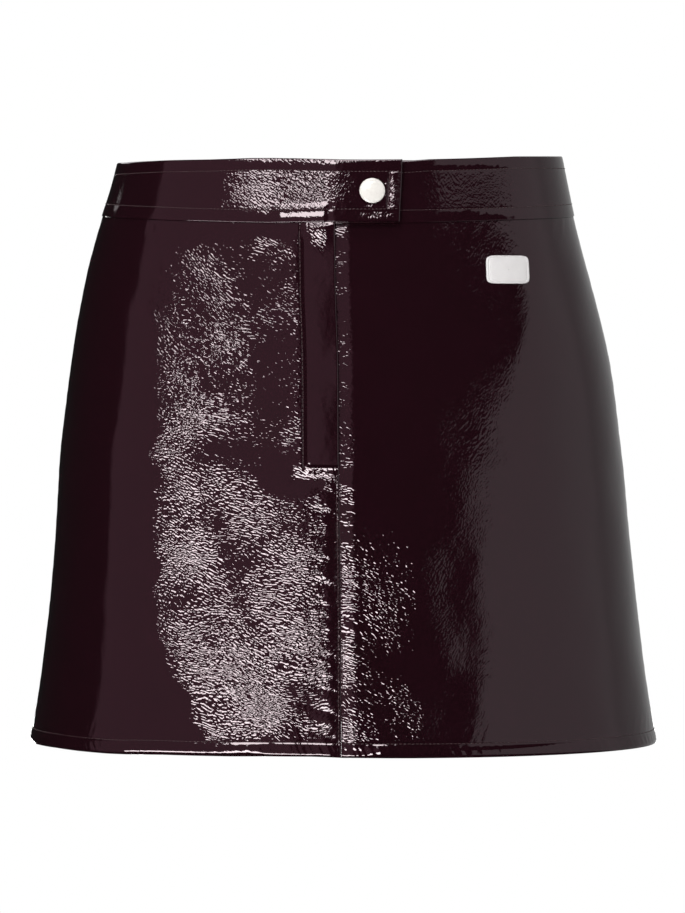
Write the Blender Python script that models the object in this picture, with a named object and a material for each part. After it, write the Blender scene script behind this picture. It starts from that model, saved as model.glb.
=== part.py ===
"""A-line mini skirt in glossy coated cloth, in the shape that it keeps when it is worn.

+Z is up, the front faces -Y and +X is the wearer's left.  The origin is the middle of the waist,
half-way up the waistband, where the wearer holds the skirt up.

The whole skirt follows one smooth form: level rings, whose half width and depths come from the
table FORM.  A place on the cloth is given by s, the distance along the ring from the middle of
the front (positive towards the wearer's left), by z, its height, and by how far it stands out
from the form.  Every cut piece is a wall between two such surfaces.
"""

import math

import bmesh
import bpy
import numpy as np
from mathutils import Vector

MM = 0.001

# ---------------------------------------------------------------- driving dimensions (mm)
HEM_Z = -360.0  # the folded lower edge, level all round
TOP_SIDE_Z = 22.3  # top edge of the waistband over the side seams
TOP_DIP = 4.2  # the front is this much lower there, and the back this much higher
TOP_TILT = 2.2  # the wearer's left side is this much higher, and the right side lower
SEAM_SIDE_Z = -14.8  # the seam under the waistband, over the side seams
SEAM_DIP, SEAM_RISE = 8.2, 3.3  # the contoured band dips at the front and rises at the back

CLOTH = 1.5  # one layer of coated cotton
BAND_OUT, BAND_IN = 1.0, -1.6  # the band's two faces: doubled cloth and its stiffening
SEAM_GAP = 0.3  # between two pieces that are sewn together
SURFACE_GAP = 0.45  # between pieces that lie on each other, which are faceted

FLY_EDGE = -1.3  # s of the fly's folded edge and of the centre seam under it
FLY_WIDTH = 22.5  # from that edge to the fly's stitching
FLY_FLAT = 9.0  # the flap lies level over the left front for this far, then slopes down
FLY_FACING = 0.6  # its facing makes it this much thicker
FLAP_END = (-172.0, -183.0)  # between these heights it comes down to the seam
UNDERLAP = 6.0  # the left front runs this far under the flap
UNDERLAP_END = (-158.0, -168.0)  # and comes out from under it between these heights

TAB_LENGTH = 42.0  # the waistband runs this far past the fly's edge
TAB_RAMP = 45.0  # it rises over this length, before that edge
TAB_PULL = 40.0  # and draws the right front's top up with it, over this height
SNAP_ROOM = 2.1  # room for the snap between the tab and the band under it
BAND_UNDERLAP = 8.0  # the band under the tab runs this far past the fly's edge

SNAP_S, SNAP_Z = 20.8, -3.3  # middle of the snap
SNAP_CAP_R, SNAP_CAP_HIGH, SNAP_RIM = 8.2, 2.3, 0.7  # the dome starts above a low rim
SNAP_POST_R, SNAP_HOLE_R = 2.0, 2.35
SNAP_SOCKET_R, SNAP_STUD_R, SNAP_PLATE = 4.6, 4.2, 0.6  # behind the tab; PLATE is both's depth
SNAP_BACK_R, SNAP_BACK_HIGH = 5.6, 0.9

BADGE_S, BADGE_Z = 112.1, -51.9  # middle of the badge
BADGE_WIDE, BADGE_TALL, BADGE_THICK, BADGE_CORNER = 31.0, 18.0, 0.8, 4.5

ZIP_WIDTH, ZIP_THICK = 27.0, 1.0
ZIP_PAST_EDGE = 6.0  # the tape reaches this far past the fly's edge
ZIP_BEHIND = 0.6  # it lies this much further in than a piece that touches, clear of the tucks
ZIP_BELOW_SEAM = 0.8  # its upper end, under the waist seam
ZIP_ROW_COUNT, ZIP_COLUMN_COUNT = 13, 6  # it ends at this one of the panel's rows
SLIDER_WIDE, SLIDER_TALL, SLIDER_THICK, SLIDER_ROUND = 7.5, 9.0, 2.4, 0.7
SLIDER_Z, SLIDER_GAP = -33.0, 0.4

# The level ring at each height (mm): half width, depths to the front and the back, and how far
# its middle wanders sideways, as the skirt hangs.
FORM_COLUMNS = ("height", "half_width", "front", "back", "lean")
FORM = (
    (-365.0, 207.0, 124.0, 134.5, 1.3),
    (-300.0, 197.3, 119.0, 131.5, 1.3),
    (-240.0, 190.8, 115.5, 131.0, 0.9),
    (-170.0, 184.8, 113.0, 131.0, -0.3),
    (-110.0, 177.1, 109.0, 127.0, -0.7),
    (-60.0, 166.6, 103.0, 117.0, -2.3),
    (-18.0, 155.6, 96.0, 105.0, -2.3),
    (2.0, 150.3, 92.0, 98.5, -1.2),
    (30.0, 143.8, 86.5, 89.5, -0.4),
)
SQUARENESS = 2.2  # 2 would be an ellipse

# Shallow hollows and swells that the cloth keeps: place, size and depth (mm, negative is a hollow).
SWELL_COLUMNS = ("s", "z", "across", "along", "depth")
SWELLS = (
    (-92.0, -255.0, 42.0, 95.0, -1.6),
    (-34.0, -232.0, 30.0, 38.0, 1.0),
    (62.0, -285.0, 40.0, 80.0, -1.2),
    (122.0, -190.0, 36.0, 90.0, 0.9),
    (-150.0, -190.0, 34.0, 90.0, 0.9),
    (330.0, -270.0, 70.0, 90.0, -1.4),
    (-330.0, -250.0, 70.0, 100.0, -1.2),
)

# The two darts that shape the back, one each side of its middle.
DART_S, DART_LEAN, DART_LONG, DART_WIDE, DART_DEEP = 72.0, 9.0, 112.0, 7.0, 1.3

# The hem: height above the fold, outer face and inner face (mm).  The cloth is turned up once.
HEM_COLUMNS = ("up", "outer", "inner")
HEM = (
    (13.5, 0.2, -CLOTH),
    (11.6, 0.2, -CLOTH),
    (11.0, 0.1, -2 * CLOTH),
    (9.2, -0.2, -2 * CLOTH),
    (7.4, 0.7, -2 * CLOTH - 0.3),
    (4.0, 1.6, -2 * CLOTH + 0.2),
    (1.1, 1.2, -2 * CLOTH + 0.9),
    (0.0, 0.2, -2 * CLOTH + 1.9),
)

# The waistband: distance from its nearer edge (mm), that edge, outer face and inner face.
BAND_PROFILE = ("distance", "edge", "outer", "inner")
BAND = (
    (0.0, "top", BAND_OUT - 0.9, BAND_IN + 0.8),
    (0.9, "top", BAND_OUT - 0.1, BAND_IN + 0.1),
    (4.0, "top", BAND_OUT, BAND_IN),
    (8.0, "top", BAND_OUT - 0.5, BAND_IN),
    (12.0, "top", BAND_OUT, BAND_IN),
    (12.5, "seam", BAND_OUT, BAND_IN),
    (8.5, "seam", BAND_OUT - 0.5, BAND_IN),
    (4.0, "seam", BAND_OUT + 0.3, BAND_IN),
    (1.0, "seam", BAND_OUT + 0.2, BAND_IN),
    (0.0, "seam", BAND_OUT - 0.7, BAND_IN + 0.5),
)

WAIST_TUCK = (0.6, 0.35, 0.1)  # how far the panels' first rows are drawn in at the waist seam

# How many columns a piece has, and how much closer they stand towards a side seam.
PANEL_COLUMNS, BACK_COLUMNS, BAND_COLUMNS_OUT, CROWDING = 16, 17, 13, 0.35
BAND_STEP = 7.4  # between the columns near the tab

# Heights of the panels' rows at the middle of the front, above the hem's own rows (mm).
FRONT_ROWS = (-25.6, -30.0, -50.0, -72.0, -94.0, -116.0, -138.0, -158.0, -168.0, -172.0,
              -177.0, -183.0, -192.0, -214.0, -238.0, -262.0, -286.0, -310.0, -330.0)
BACK_ROWS = (-25.6, -32.0, -50.0, -72.0, -94.0, -116.0, -140.0, -166.0, -192.0,
             -218.0, -244.0, -270.0, -296.0, -322.0)


# ---------------------------------------------------------------- the form
def smooth(x):
    """0 below 0, 1 above 1, and an even S between them."""
    x = min(1.0, max(0.0, x))
    return x * x * (3.0 - 2.0 * x)


def column_of(table, names, name):
    return [row[names.index(name)] for row in table]


def curve_through(xs, ys):
    """The smooth curve through some points, as a function of x; xs rises steadily."""
    slopes = np.gradient(ys, xs)

    def value(x):
        i = int(np.clip(np.searchsorted(xs, x) - 1, 0, len(xs) - 2))
        step = xs[i + 1] - xs[i]
        t = min(1.0, max(0.0, (x - xs[i]) / step))
        return (
            ys[i] * (1 + 2 * t) * (1 - t) ** 2
            + ys[i + 1] * t * t * (3 - 2 * t)
            + step * slopes[i] * t * (1 - t) ** 2
            - step * slopes[i + 1] * t * t * (1 - t)
        )

    return value


size_at = {
    name: curve_through(column_of(FORM, FORM_COLUMNS, "height"), column_of(FORM, FORM_COLUMNS, name))
    for name in FORM_COLUMNS[1:]
}

TURNS = np.radians(np.arange(0.0, 180.5, 0.5))  # from the middle of the front to that of the back
ring_cache = {}


def ring(z):
    """Points of the left half of the ring at height z, and their distance from the front."""
    key = round(z, 3)
    if key not in ring_cache:
        wide = np.abs(np.sin(TURNS)) / size_at["half_width"](z)
        depth = np.where(np.cos(TURNS) > 0, size_at["front"](z), size_at["back"](z))
        deep = np.abs(np.cos(TURNS)) / depth
        radius = (wide**SQUARENESS + deep**SQUARENESS) ** (-1 / SQUARENESS)
        x, y = radius * np.sin(TURNS), -radius * np.cos(TURNS)
        along = np.concatenate([[0.0], np.cumsum(np.hypot(np.diff(x), np.diff(y)))])
        ring_cache[key] = x, y, along
    return ring_cache[key]


def side(z):
    """Distance along the ring from the middle of the front to the side seam."""
    return float(ring(z)[2][len(TURNS) // 2])


def back_middle(z):
    """Distance along the ring from the middle of the front to that of the back."""
    return float(ring(z)[2][-1])


def wrapped(s, z):
    """The same place, with s no further than the middle of the back."""
    half = back_middle(z)
    if s > half:
        return s - 2 * half
    return s + 2 * half if s < -half else s


def bare_point(s, z):
    """A point of the form, without its swells."""
    x, y, along = ring(z)
    s = wrapped(s, z)
    across = math.copysign(np.interp(abs(s), along, x), s)
    return Vector((across + size_at["lean"](z), np.interp(abs(s), along, y), z))


def outward(s, z):
    """The form's outward normal."""
    step = 1.5
    across = bare_point(s + step, z) - bare_point(s - step, z)
    upward = bare_point(s, z + step) - bare_point(s, z - step)
    return across.cross(upward).normalized()


def swell(s, z):
    """How far the soft hollows, swells and darts move the cloth at a place."""
    s = wrapped(s, z)
    total = 0.0
    for row in SWELLS:
        bump = dict(zip(SWELL_COLUMNS, row))
        u, v = (s - bump["s"]) / bump["across"], (z - bump["z"]) / bump["along"]
        total += bump["depth"] * math.exp(-(u * u + v * v))
    down = (waist_seam_z(2.0) - z) / DART_LONG  # 0 at the waist seam, 1 at the dart's point
    if 0.0 <= down <= 1.0:
        off_line = abs(back_middle(z) - abs(s)) - (DART_S + DART_LEAN * down)
        total -= DART_DEEP * (1.0 - down) * math.exp(-((off_line / DART_WIDE) ** 2))
    return total


def place(s, z, out):
    """A point that stands out from the form, in metres."""
    return (bare_point(s, z) + outward(s, z) * (out + swell(s, z))) * MM


def top_z(turn):
    """Height of the top edge; turn is 0 at the front, 1 at the left seam and 2 at the back."""
    angle = math.pi / 2 * turn
    return TOP_SIDE_Z - TOP_DIP * math.cos(angle) + TOP_TILT * math.sin(angle) ** 3


def waist_seam_z(turn):
    forward = math.cos(math.pi / 2 * turn)
    return SEAM_SIDE_Z - (SEAM_DIP if forward > 0 else SEAM_RISE) * forward


def turn_at(s, z):
    """How far round a place is: 0 at the front, 1 at the left side seam, -1 at the right."""
    near = wrapped(s, z)
    far = abs(near)
    if far <= side(z):
        return near / side(z)
    return math.copysign(1.0 + (far - side(z)) / (back_middle(z) - side(z)), near)


# ---------------------------------------------------------------- materials and meshes
def material(name, colour, roughness, metallic=0.0):
    made = bpy.data.materials.new(name)
    made.use_nodes = True
    shader = made.node_tree.nodes["Principled BSDF"]
    shader.inputs["Base Color"].default_value = (*colour, 1.0)
    shader.inputs["Roughness"].default_value = roughness
    shader.inputs["Metallic"].default_value = metallic
    return made


def new_object(name, mesh, finish, crease=40.0):
    mesh.materials.append(finish)
    mesh.shade_smooth()
    mesh.set_sharp_from_angle(angle=math.radians(crease))
    made = bpy.data.objects.new(name, mesh)
    bpy.context.scene.collection.objects.link(made)
    return made


def wall(name, rows, finish):
    """A closed wall. rows holds, for each row, the (outer, inner) points of its columns."""
    bm = bmesh.new()
    grid = [[(bm.verts.new(out), bm.verts.new(inn)) for out, inn in row] for row in rows]
    last_row, last_column = len(grid) - 1, len(grid[0]) - 1
    for i in range(last_row):
        for j in range(last_column):
            corners = (grid[i][j], grid[i + 1][j], grid[i + 1][j + 1], grid[i][j + 1])
            bm.faces.new([pair[0] for pair in corners])
            bm.faces.new([pair[1] for pair in reversed(corners)])
    for i in range(last_row):
        for j in (0, last_column):
            upper, lower = grid[i][j], grid[i + 1][j]
            bm.faces.new((upper[0], upper[1], lower[1], lower[0]))
    for j in range(last_column):
        for i in (0, last_row):
            near, far = grid[i][j], grid[i][j + 1]
            bm.faces.new((near[0], far[0], far[1], near[1]))
    bmesh.ops.recalc_face_normals(bm, faces=bm.faces)
    mesh = bpy.data.meshes.new(name)
    bm.to_mesh(mesh)
    bm.free()
    return new_object(name, mesh, finish)


def turned(name, profile, s, z, finish, steps=24):
    """A solid turned about the form's outward normal; profile is (radius, height) in mm."""
    bm = bmesh.new()
    verts = [bm.verts.new((r * MM, 0.0, h * MM)) for r, h in profile]
    edges = [bm.edges.new(pair) for pair in zip(verts, verts[1:])]
    bmesh.ops.spin(
        bm, geom=verts + edges, cent=(0, 0, 0), axis=(0, 0, 1), steps=steps, angle=2 * math.pi
    )
    bmesh.ops.remove_doubles(bm, verts=bm.verts, dist=0.01 * MM)
    bmesh.ops.recalc_face_normals(bm, faces=bm.faces)
    mesh = bpy.data.meshes.new(name)
    bm.to_mesh(mesh)
    bm.free()
    return stand_on_cloth(new_object(name, mesh, finish), s, z, 0.0)


def stand_on_cloth(thing, s, z, out):
    """Moves an object to a place on the form and turns its +Z outwards."""
    thing.location = place(s, z, out)
    thing.rotation_mode = "QUATERNION"
    thing.rotation_quaternion = outward(s, z).to_track_quat("Z", "Y")
    return thing


def cut_snap_hole(target, name):
    """The hole for the snap's post, through a stretch of waistband."""
    reach = 12.0
    profile = ((0.0, -reach), (SNAP_HOLE_R, -reach), (SNAP_HOLE_R, reach), (0.0, reach))
    cutter = turned(name, profile, SNAP_S, SNAP_Z, target.data.materials[0], steps=16)
    cutter.hide_render = True
    cutter.display_type = "WIRE"
    hole = target.modifiers.new(name, "BOOLEAN")
    hole.operation = "DIFFERENCE"
    hole.object = cutter


# ---------------------------------------------------------------- columns of a piece
# A column is a function that gives its place s at a height z.
def fixed(s):
    """A column that keeps its distance from the middle of the front."""
    return lambda z: s


def between(start, end, fraction):
    """A column that divides the way between two others."""
    return lambda z: start(z) + (end(z) - start(z)) * fraction


def seam_line(sign, behind):
    """A side seam's edge: sign is 1 on the wearer's left; behind is the back's side of it."""
    if not behind:
        return lambda z: sign * (side(z) - SEAM_GAP / 2)
    return lambda z: back_middle(z) - sign * (back_middle(z) - side(z) - SEAM_GAP / 2)


def spread(count):
    """Fractions from 0 to 1, closer together towards 1, where the side curves most."""
    steps = np.linspace(0.0, 1.0, count + 1)
    return steps + CROWDING * steps * (1.0 - steps)


def out_to_seam(near, sign, count):
    """The near columns of a front piece, then more, shared out to its side seam."""
    far = [between(near[-1], seam_line(sign, False), share) for share in spread(count)[1:]]
    return near + far


def across_back(count):
    """The columns of a back piece, from the left side seam to the right one."""
    half = spread(count)
    shares = [(1.0 - f) / 2 for f in half[::-1]] + [(1.0 + f) / 2 for f in half[1:]]
    return [between(seam_line(1, True), seam_line(-1, True), share) for share in shares]


def no_lift(s, z):
    return 0.0


def cloth_wall(name, columns, rows_of, faces_of, finish, lift=no_lift, meets_at=-20.0):
    """A cut piece: its columns' rows, each with its two faces, lifted off the form.

    meets_at is the height at which a column's way round is measured, which sets its rows.
    """
    grid = []
    for column in columns:
        heights = rows_of(turn_at(column(meets_at), meets_at))
        points = []
        for index, z in enumerate(heights):
            s = column(z)
            outer, inner = faces_of(s, z, index)
            raised = lift(s, z)
            points.append((place(s, z, outer + raised), place(s, z, inner + raised)))
        grid.append(points)
    return wall(name, list(zip(*grid)), finish)


# ---------------------------------------------------------------- skirt panels
def panel_rows(rows):
    """Gives a panel's heights in one column, from the waist seam to the hem's fold."""

    def heights(turn):
        seam = waist_seam_z(turn) - SEAM_GAP
        stretch = (seam - HEM_Z) / (waist_seam_z(0.0) - SEAM_GAP - HEM_Z)
        upper = [HEM_Z + (z - HEM_Z) * stretch for z in rows]
        return [seam] + upper + [HEM_Z + up for up in column_of(HEM, HEM_COLUMNS, "up")]

    return heights


def panel_faces(count):
    """Gives the faces of a panel's row: tucked in at the waist seam, doubled at the hem."""
    first_hem_row = count + 1

    def faces(s, z, index):
        if index >= first_hem_row:
            row = dict(zip(HEM_COLUMNS, HEM[index - first_hem_row]))
            return row["outer"], row["inner"]
        tuck = WAIST_TUCK[index] if index < len(WAIST_TUCK) else 0.0
        return -tuck, -CLOTH - tuck

    return faces


def flap_rise(s, z):
    """1 where the fly flap lies over the left front, falling to 0 at its stitching and end."""
    across = 1.0 - smooth((FLY_EDGE - s - FLY_FLAT) / (FLY_WIDTH - FLY_FLAT))
    down = 1.0 - smooth((FLAP_END[0] - z) / (FLAP_END[0] - FLAP_END[1]))
    return across * down


def right_front_lift(s, z):
    """The flap lies over the left front, and the top edge goes up to the lifted waistband."""
    over_left = flap_rise(s, z) * (CLOTH + SURFACE_GAP)
    near_band = 1.0 - smooth((waist_seam_z(0.0) - z) / TAB_PULL)
    return over_left + (tab_lift(s, z) - over_left) * near_band


def front_right(finish):
    """The wearer's right front, whose edge is the fly flap."""
    near = [fixed(FLY_EDGE - FLY_WIDTH * fifth / 5) for fifth in range(7)]
    plain = panel_faces(len(FRONT_ROWS))

    def faces(s, z, index):
        outer, inner = plain(s, z, index)
        return outer + FLY_FACING * flap_rise(s, z), inner

    columns = out_to_seam(near, -1, PANEL_COLUMNS - 1)
    rows = panel_rows(FRONT_ROWS)
    return cloth_wall("front_right", columns, rows, faces, finish, right_front_lift)


def front_left(finish):
    """The wearer's left front: it runs under the flap, and meets the right front below it."""

    def edge(z):
        out_from_under = smooth((UNDERLAP_END[0] - z) / (UNDERLAP_END[0] - UNDERLAP_END[1]))
        return FLY_EDGE - UNDERLAP + out_from_under * (UNDERLAP + SEAM_GAP)

    near = [lambda z, d=d: edge(z) + d for d in (0.0, 3.0, 8.0, 16.0)]
    columns = out_to_seam(near, 1, PANEL_COLUMNS)
    faces = panel_faces(len(FRONT_ROWS))
    return cloth_wall("front_left", columns, panel_rows(FRONT_ROWS), faces, finish)


def back(finish):
    """The back, cut in one piece and shaped by two darts."""
    faces = panel_faces(len(BACK_ROWS))
    return cloth_wall("back", across_back(BACK_COLUMNS), panel_rows(BACK_ROWS), faces, finish)


# ---------------------------------------------------------------- waistband
def band_rows(turn):
    """Heights of the waistband's rows in one column."""
    starts = {"top": top_z(turn), "seam": waist_seam_z(turn)}
    ways = {"top": -1.0, "seam": 1.0}
    return [starts[edge] + ways[edge] * distance for distance, edge, _, _ in BAND]


def band_faces(s, z, index):
    row = dict(zip(BAND_PROFILE, BAND[index]))
    return row["outer"], row["inner"]


def tab_lift(s, z):
    """How far the right band stands off the form as it rises over the band beneath it."""
    full = BAND_OUT + SNAP_ROOM - BAND_IN
    return full * smooth((s - (FLY_EDGE - TAB_RAMP)) / TAB_RAMP)


def band_right(finish):
    """The right front of the waistband, ending in the tab that laps over the left."""
    near = [fixed(FLY_EDGE + TAB_LENGTH - BAND_STEP * i) for i in range(14)]
    columns = out_to_seam(near, -1, BAND_COLUMNS_OUT)
    made = cloth_wall("band_right", columns, band_rows, band_faces, finish, tab_lift)
    cut_snap_hole(made, "snap_hole_in_tab")
    return made


def band_left(finish):
    """The left front of the waistband, which runs on under the tab."""
    near = [fixed(FLY_EDGE - BAND_UNDERLAP + BAND_STEP * i) for i in range(9)]
    columns = out_to_seam(near, 1, BAND_COLUMNS_OUT)
    made = cloth_wall("band_left", columns, band_rows, band_faces, finish)
    cut_snap_hole(made, "snap_hole_in_band")
    return made


def band_back(finish):
    """The waistband across the back, from side seam to side seam."""
    return cloth_wall("band_back", across_back(BACK_COLUMNS), band_rows, band_faces, finish)


# ---------------------------------------------------------------- fastenings and trim
def snap_cap(finish):
    """Domed cap outside the tab, its post through the cloth and the socket behind it."""
    lift = tab_lift(SNAP_S, SNAP_Z)
    tab_out, tab_in = BAND_OUT + lift, BAND_IN + lift
    seat = tab_out + SEAM_GAP
    socket_top = tab_in - SEAM_GAP
    dome_high = SNAP_CAP_HIGH - SNAP_RIM
    dome = [
        (SNAP_CAP_R * math.cos(a), seat + SNAP_RIM + dome_high * math.sin(a))
        for a in np.radians(np.arange(15.0, 76.0, 15.0))
    ]
    profile = [
        (0.0, socket_top - SNAP_PLATE),
        (SNAP_SOCKET_R, socket_top - SNAP_PLATE),
        (SNAP_SOCKET_R, socket_top),
        (SNAP_POST_R, socket_top),
        (SNAP_POST_R, seat),
        (SNAP_CAP_R - SNAP_RIM, seat),
        (SNAP_CAP_R, seat + SNAP_RIM),
        *dome,
        (0.0, seat + SNAP_CAP_HIGH),
    ]
    return turned("snap_cap", profile, SNAP_S, SNAP_Z, finish)


def snap_stud(finish):
    """Stud in the room behind the tab, its post through the band and its back inside it."""
    band_top, band_bottom = BAND_OUT + SEAM_GAP, BAND_IN - SEAM_GAP
    chamfer = SNAP_BACK_HIGH / 2
    profile = [
        (0.0, band_bottom - SNAP_BACK_HIGH),
        (SNAP_BACK_R - chamfer, band_bottom - SNAP_BACK_HIGH),
        (SNAP_BACK_R, band_bottom - SNAP_BACK_HIGH + chamfer),
        (SNAP_BACK_R, band_bottom),
        (SNAP_POST_R, band_bottom),
        (SNAP_POST_R, band_top),
        (SNAP_STUD_R, band_top),
        (SNAP_STUD_R, band_top + SNAP_PLATE),
        (0.0, band_top + SNAP_PLATE),
    ]
    return turned("snap_stud", profile, SNAP_S, SNAP_Z, finish)


def zip_tape(finish):
    """The closed zip behind the fly, caught in the waist seam."""
    outer = -CLOTH - SURFACE_GAP - ZIP_BEHIND
    start = FLY_EDGE + ZIP_PAST_EDGE
    heights = [waist_seam_z(0.0) - ZIP_BELOW_SEAM, *FRONT_ROWS[:ZIP_ROW_COUNT]]
    share = ZIP_WIDTH / ZIP_COLUMN_COUNT
    distances = [start - share * i for i in range(ZIP_COLUMN_COUNT + 1)]
    rows = [
        [(place(s, z, outer), place(s, z, outer - ZIP_THICK)) for s in distances]
        for z in heights
    ]
    return wall("zip_tape", rows, finish)


def zip_slider(finish):
    """The back of the slider, which shows inside at the top of the zip."""
    middle = FLY_EDGE + ZIP_PAST_EDGE - ZIP_WIDTH / 2
    bm = bmesh.new()
    bmesh.ops.create_cube(bm, size=1.0)
    size = Vector((SLIDER_WIDE, SLIDER_TALL, SLIDER_THICK)) * MM
    bmesh.ops.scale(bm, vec=size, verts=bm.verts)
    bmesh.ops.bevel(bm, geom=bm.edges, offset=SLIDER_ROUND * MM, segments=2, affect="EDGES")
    mesh = bpy.data.meshes.new("zip_slider")
    bm.to_mesh(mesh)
    bm.free()
    tape_inside = -CLOTH - SURFACE_GAP - ZIP_BEHIND - ZIP_THICK
    out = tape_inside - SLIDER_GAP - SLIDER_THICK / 2
    return stand_on_cloth(new_object("zip_slider", mesh, finish), middle, SLIDER_Z, out)


def badge(finish):
    """A plain badge sewn to the left front: a rounded bar that follows the cloth."""
    rows = []
    for share in np.sin(np.linspace(np.pi / 2, -np.pi / 2, 15)):
        up = share * BADGE_TALL / 2
        into_corner = max(0.0, abs(up) - (BADGE_TALL / 2 - BADGE_CORNER))
        drawn_in = BADGE_CORNER - math.sqrt(BADGE_CORNER**2 - into_corner**2)
        half_row = BADGE_WIDE / 2 - drawn_in
        row = []
        for across in np.linspace(-1.0, 1.0, 7):
            s, z = BADGE_S + half_row * across, BADGE_Z + up
            row.append((place(s, z, SURFACE_GAP + BADGE_THICK), place(s, z, SURFACE_GAP)))
        rows.append(row)
    return wall("badge", rows, finish)


# ---------------------------------------------------------------- build
for old in list(bpy.data.objects):
    bpy.data.objects.remove(old, do_unlink=True)

vinyl = material("coated_cotton", (0.026, 0.006, 0.009), 0.15)
white_enamel = material("white_enamel", (0.80, 0.78, 0.75), 0.25)
steel = material("nickel_plate", (0.62, 0.61, 0.60), 0.30, metallic=1.0)
tape_cotton = material("zip_tape_polyester", (0.030, 0.008, 0.012), 0.85)
badge_vinyl = material("white_vinyl", (0.82, 0.80, 0.79), 0.30)

front_right(vinyl)
front_left(vinyl)
back(vinyl)
band_right(vinyl)
band_left(vinyl)
band_back(vinyl)
snap_cap(white_enamel)
snap_stud(steel)
zip_tape(tape_cotton)
zip_slider(steel)
badge(badge_vinyl)
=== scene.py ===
# %% [markdown]
# # A short A-line skirt in patent-finish cotton
#
# The imported CAD model gives the frame: where the front, the back, the waistband and the fastenings
# are.  This script dresses it.  The skirt has no wearer, but it keeps the round shape of one, so
# each cut piece becomes a thin curved wall of cloth with its own seams, stitching and creases.
# We start by loading the frame and listing its parts.

# %% Load the frame
import math

import bpy
import numpy as np
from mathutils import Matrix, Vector
from mathutils.bvhtree import BVHTree


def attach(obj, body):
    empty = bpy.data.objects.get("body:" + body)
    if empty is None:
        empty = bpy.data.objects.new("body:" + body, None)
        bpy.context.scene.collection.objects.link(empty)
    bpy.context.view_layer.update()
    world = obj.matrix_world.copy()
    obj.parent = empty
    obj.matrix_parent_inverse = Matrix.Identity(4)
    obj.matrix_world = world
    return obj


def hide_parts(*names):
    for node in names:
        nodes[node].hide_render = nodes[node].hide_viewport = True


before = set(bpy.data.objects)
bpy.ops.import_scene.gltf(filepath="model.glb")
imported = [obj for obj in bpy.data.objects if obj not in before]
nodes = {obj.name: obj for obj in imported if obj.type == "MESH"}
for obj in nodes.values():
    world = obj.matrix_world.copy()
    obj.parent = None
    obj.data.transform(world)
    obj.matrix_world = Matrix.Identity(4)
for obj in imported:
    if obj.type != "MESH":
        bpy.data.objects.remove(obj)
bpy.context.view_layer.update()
print("CAD nodes:", ", ".join(sorted(nodes)))

# %% [markdown]
# ## One form for the whole skirt
#
# A worn skirt is a tube of level rings.  At the waist a ring is narrow, and it widens over the
# hips to the hem.  A table of ring sizes at a few heights is enough, with smooth curves between
# them.  Any place on the cloth is then given as a tailor would: s, how far round it is from the
# middle of the front, and z, how high.  The same table shaped the CAD solids, so what is made
# from it here lands on them without fitting.

# %% The table of rings
MM = 0.001
HEM_Z = -360.0  # all sizes are in millimetres until a point is placed
FORM_HEIGHTS = (-365.0, -300.0, -240.0, -170.0, -110.0, -60.0, -18.0, 2.0, 30.0)
FORM = {
    "half_width": (207.0, 197.3, 190.8, 184.8, 177.1, 166.6, 155.6, 150.3, 143.8),
    "front": (124.0, 119.0, 115.5, 113.0, 109.0, 103.0, 96.0, 92.0, 86.5),
    "back": (134.5, 131.5, 131.0, 131.0, 127.0, 117.0, 105.0, 98.5, 89.5),
    "lean": (1.3, 1.3, 0.9, -0.3, -0.7, -2.3, -2.3, -1.2, -0.4),
}
SQUARENESS = 2.2  # of a ring: 2 would be an ellipse


def curve(xs, ys, x):
    """The smooth curve through some points, at every x of an array."""
    xs, ys = np.asarray(xs, float), np.asarray(ys, float)
    slopes = np.gradient(ys, xs)
    i = np.clip(np.searchsorted(xs, x) - 1, 0, len(xs) - 2)
    step = xs[i + 1] - xs[i]
    t = np.clip((x - xs[i]) / step, 0.0, 1.0)
    return (
        ys[i] * (1 + 2 * t) * (1 - t) ** 2
        + ys[i + 1] * t * t * (3 - 2 * t)
        + step * slopes[i] * t * (1 - t) ** 2
        - step * slopes[i + 1] * t * t * (1 - t)
    )


def smooth(x):
    """0 below 0, 1 above 1, and an even S between them."""
    x = np.clip(x, 0.0, 1.0)
    return x * x * (3.0 - 2.0 * x)


print("ring sizes at", len(FORM_HEIGHTS), "heights")

# %% [markdown]
# To go a distance s round a ring we need its arc length, which a squared ellipse has no formula
# for.  A quarter ring depends only on its depth for a given width, so we measure a few dozen
# quarters of different depth once, and look distances up in them.

# %% Distance round a ring
QUARTER = np.radians(np.linspace(0.0, 90.0, 721))
RATIOS = np.linspace(0.54, 0.74, 21)  # a quarter's depth over its width


def quarter_point(angle, ratio):
    """Sideways and forward reach of a quarter ring of unit width, at an angle from its middle."""
    across, forward = np.sin(angle), np.maximum(np.cos(angle), 0.0)
    reach = (across**SQUARENESS + (forward / ratio) ** SQUARENESS) ** (-1 / SQUARENESS)
    return reach * across, reach * forward


def measured(ratio):
    x, y = quarter_point(QUARTER, ratio)
    return np.concatenate([[0.0], np.cumsum(np.hypot(np.diff(x), np.diff(y)))])


LENGTHS = np.array([measured(ratio) for ratio in RATIOS])


def angle_at(distance, ratio):
    """The angle at which a quarter ring of unit width has gone some distance."""
    slot = (ratio - RATIOS[0]) / (RATIOS[1] - RATIOS[0])
    below = np.clip(slot.astype(int), 0, len(RATIOS) - 2)
    share = slot - below
    angle = np.zeros_like(distance)
    for index, lengths in enumerate(LENGTHS):
        for part, weight in ((below == index, 1 - share), (below == index - 1, share)):
            if part.any():
                angle[part] += weight[part] * np.interp(distance[part], lengths, QUARTER)
    return angle


def girths(z):
    """Distances along the ring from the middle of the front to the side seam and to the back."""
    wide = curve(FORM_HEIGHTS, FORM["half_width"], z)
    ahead = np.interp(curve(FORM_HEIGHTS, FORM["front"], z) / wide, RATIOS, LENGTHS[:, -1])
    behind = np.interp(curve(FORM_HEIGHTS, FORM["back"], z) / wide, RATIOS, LENGTHS[:, -1])
    return wide * ahead, wide * (ahead + behind)


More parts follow.
